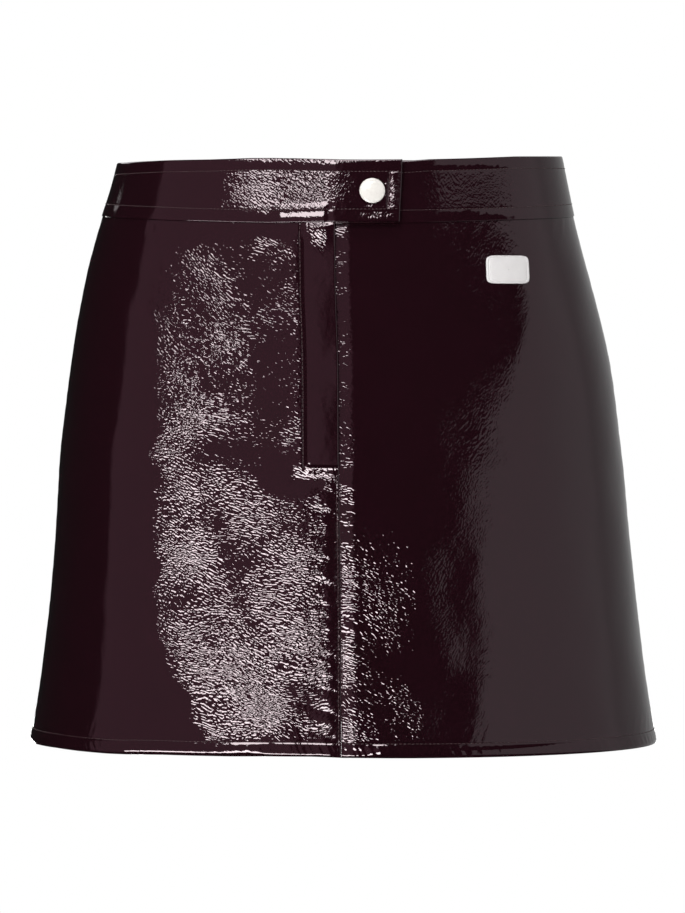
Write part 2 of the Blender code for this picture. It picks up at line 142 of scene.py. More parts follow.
def wrapped(s, z):
    """The same place, with s no further than the middle of the back."""
    half = girths(z)[1]
    return (s + half) % (2 * half) - half


def form_point(s, z):
    """A point of the bare form."""
    wide = curve(FORM_HEIGHTS, FORM["half_width"], z)
    side, half = girths(z)
    s = wrapped(s, z)
    ahead = np.abs(s) <= side
    depth = np.where(
        ahead, curve(FORM_HEIGHTS, FORM["front"], z), curve(FORM_HEIGHTS, FORM["back"], z)
    )
    distance = np.where(ahead, np.abs(s), half - np.abs(s)) / wide
    x, y = quarter_point(angle_at(distance, depth / wide), depth / wide)
    x = np.where(s < 0, -x, x) * wide + curve(FORM_HEIGHTS, FORM["lean"], z)
    return np.stack([x, np.where(ahead, -y, y) * wide, z], axis=-1)


def outward(s, z, step=0.7):
    """The bare form's outward normal."""
    across = form_point(s + step, z) - form_point(s - step, z)
    upward = form_point(s, z + step) - form_point(s, z - step)
    normal = np.cross(across, upward)
    return normal / np.linalg.norm(normal, axis=-1, keepdims=True)


def girths_at(height):
    """The same two distances at one height."""
    side, half = girths(np.array([height]))
    return float(side[0]), float(half[0])


side_at_hem, half_at_hem = girths_at(HEM_Z)
print(f"the hem is {2 * half_at_hem:.0f} mm round, {side_at_hem:.0f} mm from front to side seam")

# %% [markdown]
# ## Waist, seams and edges
#
# The waistband is cut to a curve, so that its top edge and its seam dip at the front.  Heights
# there depend on how far round a place is: 0 at the front, 1 at a side seam, 2 at the back.

# %% Heights of the waistband's edges
BAND_OUT, BAND_IN = 1.0, -1.6  # the band's two faces, from the form
CLOTH = 1.5  # how thick a panel is
SURFACE_GAP = 0.45  # between two layers that lie on each other
SEW_GAP = 0.06  # between two pieces that are sewn together
FLY_EDGE, FLY_WIDTH, FLY_FLAT = -1.3, 22.5, 18.5  # its folded edge, and how wide the flap is
FLY_BOTTOM = -178.0  # the row of stitches across its end
FLAP_END = (-177.0, -184.2)  # between these heights the flap comes down to the seam
FLAP_FALL = (  # heights there, and the share of the flap that is left: a sharp step and a slope
    (-185.0, -183.4, -182.2, -178.3, -176.75, -176.2),
    (0.0, 0.0, 0.06, 0.395, 0.4, 1.0))
UNDERLAP, UNDERLAP_END = 6.0, (-158.0, -168.0)  # of the left front under the flap
TAB_LENGTH, TAB_RAMP, TAB_PULL = 40.5, 45.0, 17.0  # it climbs over a ramp, and pulls the panel up
SNAP_ROOM = 2.1  # between the tab and the band under it
TAB_FULL = BAND_OUT + SNAP_ROOM - BAND_IN  # so far the tab stands off the form
TOP_WAVE = (  # how far the top edge strays, by places round the waist: wear has stretched it
    (-0.85, -0.59, -0.43, -0.355, -0.28, -0.21, -0.14, -0.07, 0.0, 0.07, 0.2, 0.28, 0.43, 0.6,
     0.72, 0.85),
    (0.0, 0.5, 0.5, 0.8, 1.2, 1.2, 0.6, -0.3, -0.85, -0.95, -0.9, 0.1, 0.4, 0.7, 0.3, 0.0))
HEM_DROP = (  # and how far the hem hangs down
    (-2.0, -1.0, -0.76, -0.69, -0.6, -0.55, -0.51, -0.46, -0.3, -0.22, -0.1, -0.05, 0.0, 0.1,
     0.2, 0.4, 1.0, 2.0),
    (0.6, 0.3, 0.4, 0.9, 1.25, 1.1, 0.7, 0.4, 0.35, 0.0, 0.0, 0.3, 0.8, 1.0, 1.2, 1.3, 1.2, 0.6))


def top_z(turn):
    angle = np.pi / 2 * turn
    return 22.3 - 4.2 * np.cos(angle) + 2.2 * np.sin(angle) ** 3 + np.interp(turn, *TOP_WAVE)


def hem_drop(turn):
    return np.interp(turn, *HEM_DROP)


def waist_seam_z(turn):
    forward = np.cos(np.pi / 2 * turn)
    return -14.8 - np.where(forward > 0, 8.2, 3.3) * forward


def turn_at(s, z):
    """How far round a place is, signed: 1 is the left side seam and -1 the right one."""
    side, half = girths(z)
    near = wrapped(s, z)
    far = np.abs(near)
    turn = np.where(far <= side, far / side, 1.0 + (far - side) / (half - side))
    return np.where(near < 0, -turn, turn)


def flap_rise(s, z):
    """1 where the fly's flap lies over the left front, 0 past its stitching and its end."""
    across = 1.0 - smooth((FLY_EDGE - s - FLY_FLAT) / (FLY_WIDTH - FLY_FLAT))
    return across * np.interp(z, *FLAP_FALL)


def tab_lift(s):
    """How far the right band stands off the form as it rises over the band beneath it."""
    return TAB_FULL * smooth((s - (FLY_EDGE - TAB_RAMP)) / TAB_RAMP)


def right_front_lift(s, z):
    over_left = flap_rise(s, z) * (CLOTH + SURFACE_GAP)
    near_band = 1.0 - smooth((waist_seam_z(0.0) - z) / TAB_PULL)
    return over_left + (tab_lift(s) - over_left) * near_band


print(f"the waistband is {float(top_z(0.0) - waist_seam_z(0.0)):.1f} mm deep in front")

# %% [markdown]
# ## Creases
#
# Coated cloth is stiff: it doesn't drape in folds, but it keeps shallow hollows where it was
# pulled.  Each main one is given as a line from one place to another with a width and
# a depth.  The broad swells are round, and two darts shape the back.

# %% Swells, darts and creases
SWELLS = (  # place, size and height: these are in the CAD solids too
    (-92.0, -255.0, 42.0, 95.0, -1.6),
    (-34.0, -232.0, 30.0, 38.0, 1.0),
    (62.0, -285.0, 40.0, 80.0, -1.2),
    (122.0, -190.0, 36.0, 90.0, 0.9),
    (-150.0, -190.0, 34.0, 90.0, 0.9),
    (330.0, -270.0, 70.0, 90.0, -1.4),
    (-330.0, -250.0, 70.0, 100.0, -1.2),
)
DART_S, DART_LEAN, DART_LONG, DART_WIDE, DART_DEEP = 72.0, 9.0, 112.0, 7.0, 1.3
CREASES = (  # from (s, z) to (s, z), width, height; a hollow is negative
    (-14.0, -186.0, -27.0, -186.8, 7.8, -0.7),  # the fly's end draws the front in
    (-18.0, -322.0, -22.0, -345.0, 13.0, -0.7),
    (-62.0, -350.0, -84.0, -300.0, 20.0, 0.9),
    (-150.0, -60.0, -60.0, -120.0, 16.0, -0.5),
    (-110.0, -30.0, -30.0, -85.0, 12.0, -0.4),
    (40.0, -215.0, 62.0, -300.0, 13.0, 0.5),
    (86.0, -40.0, 70.0, -120.0, 15.0, -0.5),
    (150.0, -60.0, 172.0, -250.0, 18.0, -0.6),
    (-205.0, -120.0, -215.0, -260.0, 22.0, -0.6),
    (300.0, -120.0, 360.0, -300.0, 26.0, -0.9),
    (-290.0, -70.0, -350.0, -240.0, 24.0, -0.8),
    (430.0, -200.0, 455.0, -330.0, 22.0, 0.7),
)
print(len(SWELLS), "swells and", len(CREASES), "creases placed by hand")

# %% [markdown]
# Where two pieces are sewn together the thread draws the cloth in, and small puckers run away
# from the seam.  They are uneven, so they come from a few waves of unlike length.  Two more
# shapes are of use everywhere: a bell, and a soft trough along a line.

# %% Waves, bells and troughs
def ripple(x, seed, waves=7):
    """An uneven wave about one unit long and one high."""
    draw = np.random.default_rng(seed)
    lengths, starts = draw.uniform(0.75, 2.1, waves), draw.uniform(0.0, 2 * np.pi, waves)
    total = sum(np.sin(2 * np.pi * x / far + start) for far, start in zip(lengths, starts))
    return total / math.sqrt(waves)


def drift(s, z, size, seed, waves=9):
    """A soft uneven surface, whose hills are about one size apart and one high."""
    draw = np.random.default_rng(seed)
    total = 0.0
    for angle, far, start in zip(
        draw.uniform(0.0, 2 * np.pi, waves),
        draw.uniform(0.8, 1.9, waves) * size,
        draw.uniform(0.0, 2 * np.pi, waves),
    ):
        way = s * math.cos(angle) + z * math.sin(angle)
        total = total + np.sin(2 * np.pi * way / far + start)
    return total / math.sqrt(waves)


def bell(x, width):
    return np.exp(-((x / width) ** 2))


def crease(s, z, start_s, start_z, end_s, end_z, width, height):
    """One soft trough or ridge between two places."""
    along_s, along_z = end_s - start_s, end_z - start_z
    t = ((s - start_s) * along_s + (z - start_z) * along_z) / (along_s**2 + along_z**2)
    t = np.clip(t, 0.0, 1.0)
    apart = np.hypot(s - start_s - t * along_s, z - start_z - t * along_z)
    return height * bell(apart, width)


print(f"a ripple is up to {np.abs(ripple(np.linspace(0.0, 60.0, 900), 21)).max():.1f} high")

# %% [markdown]
# The film's crinkle isn't even.  Some places are calm, and a few have more of it.  They are
# listed one by one too, with the same troughs.

# %% Calm places
CALM = (  # from (s, z) to (s, z), width, and the share of the crinkle that is missing
    (-41.0, -189.0, -25.0, -190.5, 5.2, 1.0),  # the hollow under the fly's end
    (-25.0, -190.5, -13.0, -188.0, 4.2, 1.0),
    (-50.0, -186.0, -41.0, -189.0, 4.0, 0.7),
    (-44.0, -176.0, -33.0, -181.0, 4.0, 0.85),
    (-120.0, -27.0, -26.0, -25.0, 9.0, 0.97),
    (-62.0, -38.0, -34.0, -48.0, 11.0, 0.5),
    (-80.0, -165.0, -26.0, -172.0, 13.0, 0.55),
    (-90.0, -180.0, -33.0, -184.0, 16.0, 0.16),
    (-112.0, -213.0, -30.0, -216.0, 22.0, 0.4),
    (-88.0, -252.0, -34.0, -255.0, 18.0, 0.22),
    (-40.0, -150.0, -32.0, -60.0, 10.0, 0.3),
    (-80.0, -60.0, -88.0, -72.0, 11.0, 0.3),
    (-93.0, -167.0, -66.0, -262.0, 7.0, 0.35),
    (-66.0, -262.0, -53.0, -287.0, 7.0, 0.45),
    (-56.0, -60.0, -46.0, -172.0, 15.0, 0.35),
    (-31.0, -319.0, -9.0, -338.0, 8.5, 0.5),
    (-30.0, -322.0, -34.0, -345.0, 7.0, 0.35),
    (-114.0, -290.0, -104.0, -348.0, 11.0, 0.4),
    (-7.5, -192.0, -7.5, -345.0, 3.0, 0.7),
    (30.0, -190.0, 70.0, -230.0, 16.0, 0.5),
    (22.0, -300.0, 60.0, -310.0, 9.0, 0.6),
    (8.0, -320.0, 22.0, -335.0, 9.0, 0.35),
    (-110.0, -90.0, -114.0, -150.0, 15.0, -0.4),  # and more of it here
    (-100.0, -60.0, -80.0, -110.0, 22.0, -0.2),
    (-60.0, -100.0, -50.0, -120.0, 12.0, -0.2),
    (-110.0, -245.0, -106.0, -262.0, 12.0, -0.2),
    (-66.0, -290.0, -8.0, -298.0, 14.0, -0.45),
    (-70.0, -320.0, -50.0, -335.0, 12.0, -0.45),
    (-30.0, -208.0, -10.0, -216.0, 8.0, -0.2),
    (36.0, -325.0, 46.0, -340.0, 11.0, -0.6),
)


def calmed(s, z):
    """The share of the crinkle that is left."""
    share = np.ones_like(s)
    for row in CALM:
        share = share * (1.0 - crease(s, z, *row))
    return share


print(len(CALM), "places where the crinkle is weaker or stronger")

# %% [markdown]
# All hollows and swells add up to how far the cloth stands off the bare form.  One function then
# turns a place on the cloth into a point, and everything that follows is built with it.

# %% From a place on the cloth to a point
def relief(s, z):
    """How far the hollows, swells, darts and creases move the cloth."""
    s = wrapped(s, z)
    total = np.zeros_like(s)
    for at_s, at_z, across, along, height in SWELLS:
        total += height * np.exp(-(((s - at_s) / across) ** 2) - ((z - at_z) / along) ** 2)
    for row in CREASES:
        total += crease(s, z, *row)
    down = (waist_seam_z(2.0) - z) / DART_LONG
    off_line = np.abs(girths(z)[1] - np.abs(s)) - (DART_S + DART_LEAN * down)
    dart = (1.0 - down) * (DART_DEEP * bell(off_line, DART_WIDE) + 0.5 * bell(off_line, 0.9))
    total -= np.where((down >= 0.0) & (down <= 1.0), dart, 0.0)
    below_band = smooth((waist_seam_z(turn_at(s, z)) - z) / 30.0)
    return total + 0.10 * below_band * drift(s, z, 34.0, 11)


def place(s, z, out):
    """Points that stand out from the form by so much, in metres."""
    s, z, out = (np.asarray(value, float) for value in np.broadcast_arrays(s, z, out))
    return (form_point(s, z) + outward(s, z) * (out + relief(s, z))[..., None]) * MM


print("the middle of the hem, in mm:", (place([0.0], [HEM_Z], 0.0)[0] / MM).round(1))

# %% [markdown]
# ## How cloth is meshed
#
# A cut piece is a grid: columns run down it and rows run round it.  They stand closer together
# where the surface turns sharply, at folds and stitch lines.

# %% Rows and columns
def graded(end, *stops):
    """Places from 0 to end. stops are (place, step), and the step changes evenly between them."""
    at = [0.0]
    while at[-1] < end:
        at.append(at[-1] + np.interp(at[-1], [p for p, _ in stops], [step for _, step in stops]))
    return np.array(at) * end / at[-1]


def thinned(count, step, fine=()):
    """Indices a step apart, the last one, and all of them in the fine stretches."""
    keep = set(range(0, count, step)) | {count - 1}
    for start, stop in fine:
        keep |= set(range(max(0, start), min(count, stop)))
    return sorted(keep)


print("steps from 0.5 to 1.5:", graded(10.0, (0, 0.5), (10, 1.5)).round(1))

# %% [markdown]
# The outer face keeps every row and column.  The inner face is seen less, so it keeps a few of
# them, and the two are joined round the edge into one closed wall.

# %% A closed wall of cloth
HARD_EDGE = 50.0  # degrees: where faces meet more sharply than this, the shading breaks


def link(name, mesh):
    """An object that shows a mesh."""
    made = bpy.data.objects.new(name, mesh)
    bpy.context.scene.collection.objects.link(made)
    return made


def cloth_wall(name, s, z, outer, inner, finishes, maps, kept_rows, kept_columns):
    """A closed wall between two faces. s, z and the faces are grids; maps are grids to store."""
    rows, columns = s.shape
    outside = place(s, z, outer)
    inside = place(s, z, inner)[np.ix_(kept_rows, kept_columns)]
    outside_index = np.arange(rows * columns).reshape(rows, columns)
    inside_index = rows * columns + np.arange(inside[..., 0].size).reshape(inside.shape[:2])
    quads = np.stack(
        [outside_index[:-1, :-1], outside_index[1:, :-1], outside_index[1:, 1:],
         outside_index[:-1, 1:]], axis=-1,
    ).reshape(-1, 4)
    inner_quads = np.stack(
        [inside_index[:-1, :-1], inside_index[:-1, 1:], inside_index[1:, 1:],
         inside_index[1:, :-1]], axis=-1,
    ).reshape(-1, 4)
    rim = []
    for side, kept, ring_out, ring_in in (
        ("top", kept_columns, outside_index[0], inside_index[0]),
        ("bottom", kept_columns, outside_index[-1], inside_index[-1]),
        ("first", kept_rows, outside_index[:, 0], inside_index[:, 0]),
        ("last", kept_rows, outside_index[:, -1], inside_index[:, -1]),
    ):
        for k, (start, stop) in enumerate(zip(kept, kept[1:])):
            face = [*ring_out[start : stop + 1], ring_in[k + 1], ring_in[k]]
            rim.append(face if side in ("top", "last") else face[::-1])
    mesh = bpy.data.meshes.new(name)
    points = np.concatenate([outside.reshape(-1, 3), inside.reshape(-1, 3)])
    mesh.from_pydata(points.tolist(), [], [*quads.tolist(), *inner_quads.tolist(), *rim])
    for finish in finishes:
        mesh.materials.append(finish)
    slots = np.zeros(len(mesh.polygons), np.int32)
    slots[len(quads) : len(quads) + len(inner_quads)] = 1
    mesh.polygons.foreach_set("material_index", slots)
    pick = np.ix_(kept_rows, kept_columns)
    for key, grid in maps.items():
        both = np.concatenate([
            grid.reshape(rows * columns, -1), grid[pick].reshape(inside[..., 0].size, -1)
        ])
        kind = "FLOAT_VECTOR" if both.shape[1] == 3 else "FLOAT"
        stored = mesh.attributes.new(key, kind, "POINT")
        stored.data.foreach_set("vector" if kind == "FLOAT_VECTOR" else "value",
                                both.astype(np.float32).ravel())
    mesh.shade_smooth()
    mesh.set_sharp_from_angle(angle=math.radians(HARD_EDGE))
    print(f"{name}: {rows} rows, {columns} columns, {len(mesh.polygons)} faces")
    return link(name, mesh)


# %% [markdown]
# ## Adding nodes and colours
#
# Every finish is a node tree.  One helper adds a node, sets what is given as a setting, and
# either sets or links each input.  Colours are written as the hex values that a colour picker
# shows, and one function turns them into the linear light that the renderer works in.

# %% Node and colour helpers
def linear(code):
    """An sRGB hex colour as linear red, green, blue and alpha."""
    shares = [int(code[i : i + 2], 16) / 255 for i in (1, 3, 5)]
    return (*[c / 12.92 if c <= 0.04045 else ((c + 0.055) / 1.055) ** 2.4 for c in shares], 1.0)


def add(tree, kind, inputs=None, **settings):
    """Adds a node; an input's value may be another node's output."""
    made = tree.nodes.new(kind)
    for name, value in settings.items():
        setattr(made, name, value)
    for key, value in (inputs or {}).items():
        if isinstance(value, bpy.types.NodeSocket):
            tree.links.new(value, made.inputs[key])
        else:
            made.inputs[key].default_value = value
    return made


def finish_of(name, **values):
    """A new material, its tree, and its Principled shader with some values set."""
    made = bpy.data.materials.new(name)
    made.use_nodes = True
    shader = made.node_tree.nodes["Principled BSDF"]
    for key, value in values.items():
        shader.inputs[key.replace("_", " ")].default_value = value
    return made, made.node_tree, shader


def set_two_tone(tree, shader, share, first, second):
    """The base colour goes from one hex colour to another."""
    mixed = add(tree, "ShaderNodeMix", {"Factor": share, "A": linear(first), "B": linear(second)},
                data_type="RGBA")
    tree.links.new(mixed.outputs["Result"], shader.inputs["Base Color"])


def set_bump(tree, shader, height, depth):
    """A relief so many millimetres deep."""
    bump = add(tree, "ShaderNodeBump", {"Height": height, "Distance": depth * MM})
    tree.links.new(bump.outputs[0], shader.inputs["Normal"])


def cloth_place(tree):
    """Where a point is on its flat cut, in metres, as stored on the mesh."""
    return add(tree, "ShaderNodeAttribute", attribute_name="cloth_place").outputs["Vector"]


def place_in_mm(tree):
    """Where a point is on a hard part, in millimetres."""
    there = add(tree, "ShaderNodeTexCoord").outputs["Object"]
    return add(tree, "ShaderNodeVectorMath", {0: there, 1: (1000.0, 1000.0, 1000.0)},
               operation="MULTIPLY").outputs[0]


def yarns(tree, where, apart, way, distortion, **inputs):
    """Ridges so many millimetres apart, across X or Y."""
    return add(tree, "ShaderNodeTexWave", {
        "Vector": where, "Scale": 2 * math.pi / (20 * apart * MM), "Distortion": distortion,
        **inputs}, bands_direction=way).outputs["Fac"]


print("dark oxblood in linear light:", [round(c, 4) for c in linear("#2A0D14")[:3]])

# %% [markdown]
# ## Patent-finish cotton
#
# The real cloth is cotton with a film of polyurethane cast on it, rolled against polished steel,
# which gives the mirror gloss.  Handling crinkles the film into fine wrinkles 1.5 to 2.5 mm
# apart, and a lamp's reflection breaks up into short bright dashes on them.  The wrinkles lie
# one way over the hip and another way near the seam, so three sets of stretched noise are mixed
# by a map that is stored on the mesh.  Modelling each would take millions of faces, so they are
# bump.  The wider creases are in the mesh.

# %% The wrinkles of the patent finish
WRINKLES = (  # direction (degrees), length, spacing, height (mm)
    (-37.0, 2.6, 1.20, 0.50),
    (-18.0, 2.5, 1.15, 0.50),
    (60.0, 2.6, 1.10, 0.40),
)
patent, tree, shader = finish_of(
    "patent_coated_cotton", IOR=1.5, Coat_Weight=1.0, Coat_Roughness=0.03, Coat_IOR=1.5,
    Specular_Tint=(1.0, 0.62, 0.75, 1.0))
place_on_cloth = cloth_place(tree)
crinkled = add(tree, "ShaderNodeAttribute", attribute_name="crinkle").outputs["Fac"]
lay = add(tree, "ShaderNodeAttribute", attribute_name="lay").outputs["Vector"]
lay = add(tree, "ShaderNodeSeparateXYZ", {0: lay})
height = None
for weight, (turned, length, spacing, high) in zip(lay.outputs, WRINKLES):
    lined_up = add(
        tree, "ShaderNodeMapping",
        {"Vector": place_on_cloth, "Rotation": (0, 0, math.radians(turned)),
         "Scale": (length * MM, spacing * MM, 1.0)}, vector_type="TEXTURE",
    )
    noise = add(tree, "ShaderNodeTexNoise", {
        "Vector": lined_up.outputs[0], "Scale": 1.0, "Detail": 0.3, "Roughness": 0.5,
        "Distortion": 0.3})
    around_zero = add(tree, "ShaderNodeMath", {0: noise.outputs["Fac"], 1: 0.5},
                      operation="SUBTRACT")
    scaled = add(tree, "ShaderNodeMath", {0: around_zero.outputs[0], 1: high},
                 operation="MULTIPLY")
    shared = add(tree, "ShaderNodeMath", {0: scaled.outputs[0], 1: weight}, operation="MULTIPLY")
    height = shared.outputs[0] if height is None else add(
        tree, "ShaderNodeMath", {0: height, 1: shared.outputs[0]}).outputs[0]
print(len(WRINKLES), "sets of wrinkles")

# %% [markdown]
# A fine grain lies on the wrinkles.  All over the film is a faint unevenness, such as paint has,
# which makes reflections waver.  The colour drifts a little, and where the film is crinkled it is
# a touch less glossy.

# %% Grain, colour and gloss
grain = add(tree, "ShaderNodeTexNoise", {
    "Vector": place_on_cloth, "Scale": 1 / (1.1 * MM), "Detail": 1.0, "Roughness": 0.5})
grain = add(tree, "ShaderNodeMath", {0: grain.outputs["Fac"], 1: 0.03}, operation="MULTIPLY")
height = add(tree, "ShaderNodeMath", {0: height, 1: grain.outputs[0]})
height = add(tree, "ShaderNodeMath", {0: height.outputs[0], 1: crinkled}, operation="MULTIPLY")
peel = add(tree, "ShaderNodeTexNoise", {
    "Vector": place_on_cloth, "Scale": 1 / (14 * MM), "Detail": 2.0, "Roughness": 0.6})
peel = add(tree, "ShaderNodeMath", {0: peel.outputs["Fac"], 1: 0.15}, operation="MULTIPLY")
height = add(tree, "ShaderNodeMath", {0: height.outputs[0], 1: peel.outputs[0]})
bump = add(tree, "ShaderNodeBump", {"Height": height.outputs[0], "Distance": MM, "Strength": 1.0})
for facing in ("Normal", "Coat Normal"):
    tree.links.new(bump.outputs[0], shader.inputs[facing])
tint = add(tree, "ShaderNodeTexNoise", {
    "Vector": place_on_cloth, "Scale": 1 / (22 * MM), "Detail": 3.0})
set_two_tone(tree, shader, tint.outputs["Fac"], "#1C080F", "#18070C")
gloss = add(tree, "ShaderNodeMapRange", {"Value": crinkled, "To Min": 0.04, "To Max": 0.055})
tree.links.new(gloss.outputs[0], shader.inputs["Roughness"])
print("patent finish:", len(tree.nodes), "nodes")

# %% [markdown]
# ## The cloth's back
#
# Inside, the uncoated cotton shows: a plain weave of dyed yarn.  High roughness and a little
# sheen give the matt, slightly hairy look.  The yarns are drawn twice as coarse as they are, so
# that they show in a render.

# %% Dyed cotton
YARN = 0.8  # 0.4 mm on the real cloth
backing, tree, shader = finish_of("dyed_cotton_backing", Roughness=0.85, IOR=1.46,
                                  Sheen_Weight=0.25, Sheen_Roughness=0.5)
place_on_cloth = cloth_place(tree)
warp, weft = (yarns(tree, place_on_cloth, YARN, way, 0.6, Detail=1.0) for way in "XY")
weave = add(tree, "ShaderNodeMath", {0: warp, 1: weft}, operation="MAXIMUM").outputs[0]
set_bump(tree, shader, weave, 0.12)
set_two_tone(tree, shader, weave, "#2A1015", "#4A222A")
print("cotton:", len(tree.nodes), "nodes")

# %% [markdown]
# ## Thread
#
# Spun polyester, two plies twisted together.  The twist is a slanted wave along each stitch, and
# a middling roughness gives the soft shine.

# %% Spun polyester thread
thread, tree, shader = finish_of("spun_polyester_thread", Roughness=0.42, IOR=1.54,
                                 Sheen_Weight=0.06)
twist = add(tree, "ShaderNodeTexWave", {
    "Vector": add(tree, "ShaderNodeUVMap", uv_map="twist").outputs[0], "Scale": 0.9,
    "Distortion": 0.3}, bands_direction="DIAGONAL").outputs["Fac"]
set_two_tone(tree, shader, twist, "#1C070C", "#3C151D")
set_bump(tree, shader, twist, 0.06)
print("thread:", len(tree.nodes), "nodes")

# %% [markdown]
# ## Enamel and nickel
#
# The snap's cap is stamped brass under baked enamel.  Low roughness makes it glossy, and shallow
# dips a millimetre or two wide make its highlights waver.  The stud and the zip's slider are
# plated with nickel: a metal whose roughness varies, as fine scuffs do.

# %% Enamel and nickel
enamel, tree, shader = finish_of("white_enamel", Roughness=0.22, IOR=1.5)
shader.inputs["Base Color"].default_value = linear("#D5D0CD")
dips = add(tree, "ShaderNodeTexNoise", {
    "Vector": place_in_mm(tree), "Scale": 0.7, "Detail": 2.0}).outputs["Fac"]
set_bump(tree, shader, dips, 0.03)
set_two_tone(tree, shader, dips, "#D0CAC7", "#DAD5D1")

nickel, tree, shader = finish_of("nickel_plate", Metallic=1.0, Roughness=0.24)
shader.inputs["Base Color"].default_value = linear("#CFCBC4")
scuffs = add(tree, "ShaderNodeTexNoise", {
    "Vector": place_in_mm(tree), "Scale": 1.8, "Detail": 4.0}).outputs["Fac"]
rough = add(tree, "ShaderNodeMapRange", {"Value": scuffs, "To Min": 0.16, "To Max": 0.34})
tree.links.new(rough.outputs[0], shader.inputs["Roughness"])
set_bump(tree, shader, scuffs, 0.01)
print("enamel and nickel")

# %% [markdown]
# ## Vinyl, zip tape and nylon
#
# The badge is calendered vinyl: half matt, with a fine grain.  The zip's tape is woven
# polyester, ribbed across, rough and a little fuzzy.  Its teeth are bent nylon rod, smoother than
# the tape, with faint marks from drawing.

# %% Vinyl, zip tape and nylon
vinyl, tree, shader = finish_of("white_vinyl", Roughness=0.36, IOR=1.5)
place_on_cloth = cloth_place(tree)
grain = add(tree, "ShaderNodeTexNoise", {
    "Vector": place_on_cloth, "Scale": 1 / (0.6 * MM), "Detail": 2.0}).outputs["Fac"]
set_bump(tree, shader, grain, 0.05)
clouds = add(tree, "ShaderNodeTexNoise", {"Vector": place_on_cloth, "Scale": 1 / (7 * MM)})
set_two_tone(tree, shader, clouds.outputs["Fac"], "#CFCACC", "#DBD7D8")

tape, tree, shader = finish_of("woven_polyester_tape", Roughness=0.7, IOR=1.54, Sheen_Weight=0.15)
place_on_cloth = cloth_place(tree)
ribs = yarns(tree, place_on_cloth, 0.9, "X", 0.3)
picks = yarns(tree, place_on_cloth, 0.5, "Y", 0.3)
weave = add(tree, "ShaderNodeMath", {0: ribs, 1: picks}, operation="MULTIPLY").outputs[0]
set_bump(tree, shader, weave, 0.1)
set_two_tone(tree, shader, weave, "#1F0A10", "#3A161F")

nylon, tree, shader = finish_of("nylon_coil", Roughness=0.35, IOR=1.53)
there = add(tree, "ShaderNodeTexCoord").outputs["Object"]
clouds, marks = (add(tree, "ShaderNodeTexNoise", {"Vector": there, "Scale": 1 / (apart * MM)})
                 for apart in (4.0, 0.4))
set_two_tone(tree, shader, clouds.outputs["Fac"], "#1A080D", "#2B0F17")
set_bump(tree, shader, marks.outputs["Fac"], 0.02)
print("vinyl, tape and nylon")

# %% [markdown]
# ## The front and back panels
#
# Both fronts and the back share their top and bottom: they are drawn into the waist seam, and
# the hem is turned up once and stitched 9 mm above its fold, which leaves a soft roll below the
# stitches.  The roll is roundest at some way from the middle of the front.

# %% Rows and faces of a panel
SEAM_Z = -20.0  # about the height of the waist seam, where a panel's columns are shared out
HEM_UP = (0.0, 1.1, 4.0, 7.4, 9.2, 11.0, 11.6, 13.5)  # above the fold; both faces at each follow
HEM_OUTER = (-0.1, 0.55, 0.70, 0.55, 0.20, 0.18, 0.2, 0.2)
HEM_INNER = (-1.1, -2.1, -2.8, -3.3, -3.0, -3.0, -1.5, -1.5)
HEM_STITCH = 8.9  # above the fold
EDGE_STITCH = 1.8  # from the centre seam, on the wearer's right
FRONT_STEPS = ((0, 0.3), (2, 0.5), (6, 1.2), (324, 1.2), (327, 0.6), (334, 0.5), (337, 0.35))
PANEL_TALL = 336.7  # from the waist seam to the fold, at the middle of the front
HEM_ROWS = 30  # the lowest rows of a panel, which the inner face keeps


def panel_heights(turn, down):
    """Heights of a panel's rows in its columns; down is measured at the middle of the front."""
    seam = waist_seam_z(turn)[None, :] - SEW_GAP
    up = (PANEL_TALL - down)[:, None]
    fold = HEM_Z - hem_drop(turn)[None, :]
    stretch = (seam - fold) / PANEL_TALL
    return fold + up * (1.0 + (stretch - 1.0) * smooth((up - 14.0) / 50.0))


def above_fold(s, z):
    """Height above the hem's fold."""
    return z - HEM_Z + hem_drop(turn_at(s, z))


def panel_faces(s, z, along_hem):
    """The two faces of a panel: drawn in at the waist seam and doubled at the hem."""
    up = above_fold(s, z)
    below_seam = waist_seam_z(turn_at(s, z)) - z
    outer = curve(HEM_UP, HEM_OUTER, up)
    inner = curve(HEM_UP, HEM_INNER, up)
    tuck = 0.06 * bell(below_seam, 6.0)
    pucker = 0.05 * bell(below_seam - 5.0, 6.0) * ripple((along_hem + 0.3 * below_seam) / 6.5, 21)
    groove = 0.16 * bell(up - HEM_STITCH, 0.55)
    rolled = 0.75 * bell(wrapped(s, z), 125.0)  # rounder in front, but not next to the seam
    rolled = rolled * (1.0 - 1.35 * smooth((s + 62.0) / 18.0) * smooth((24.0 - s) / 14.0))
    roll = 0.09 * bell(up - 4.5, 3.0) * ripple((along_hem + 0.5 * up) / 3.4, 22)
    roll = roll + rolled * bell(up - 4.3, 2.7)
    above = 0.05 * bell(up - 14.0, 6.0) * ripple((along_hem - 0.4 * up) / 5.0, 23)
    shift = pucker - tuck + roll * smooth(up / 2.0) + above
    return outer + shift - groove, inner + shift


def seam_tuck(apart):
    """How a seam draws a piece's edge in; apart is the distance from the seam."""
    return 0.3 * bell(apart, 0.7) + 0.10 * bell(apart, 4.0)


def side_tuck(apart, z, seed):
    """The same, with the small puckers that run down a panel's side seam."""
    return seam_tuck(apart) - 0.07 * bell(apart - 5.0, 6.0) * ripple(z / 9.0, seed)


print(f"the hem is stitched {HEM_STITCH} mm above its fold")

# %% [markdown]
# The patent finish reads from the mesh how strong the crinkle is and which way it lies.  It fades
# out towards the sides and in the hem's roll, and the stiffened fly is almost smooth.

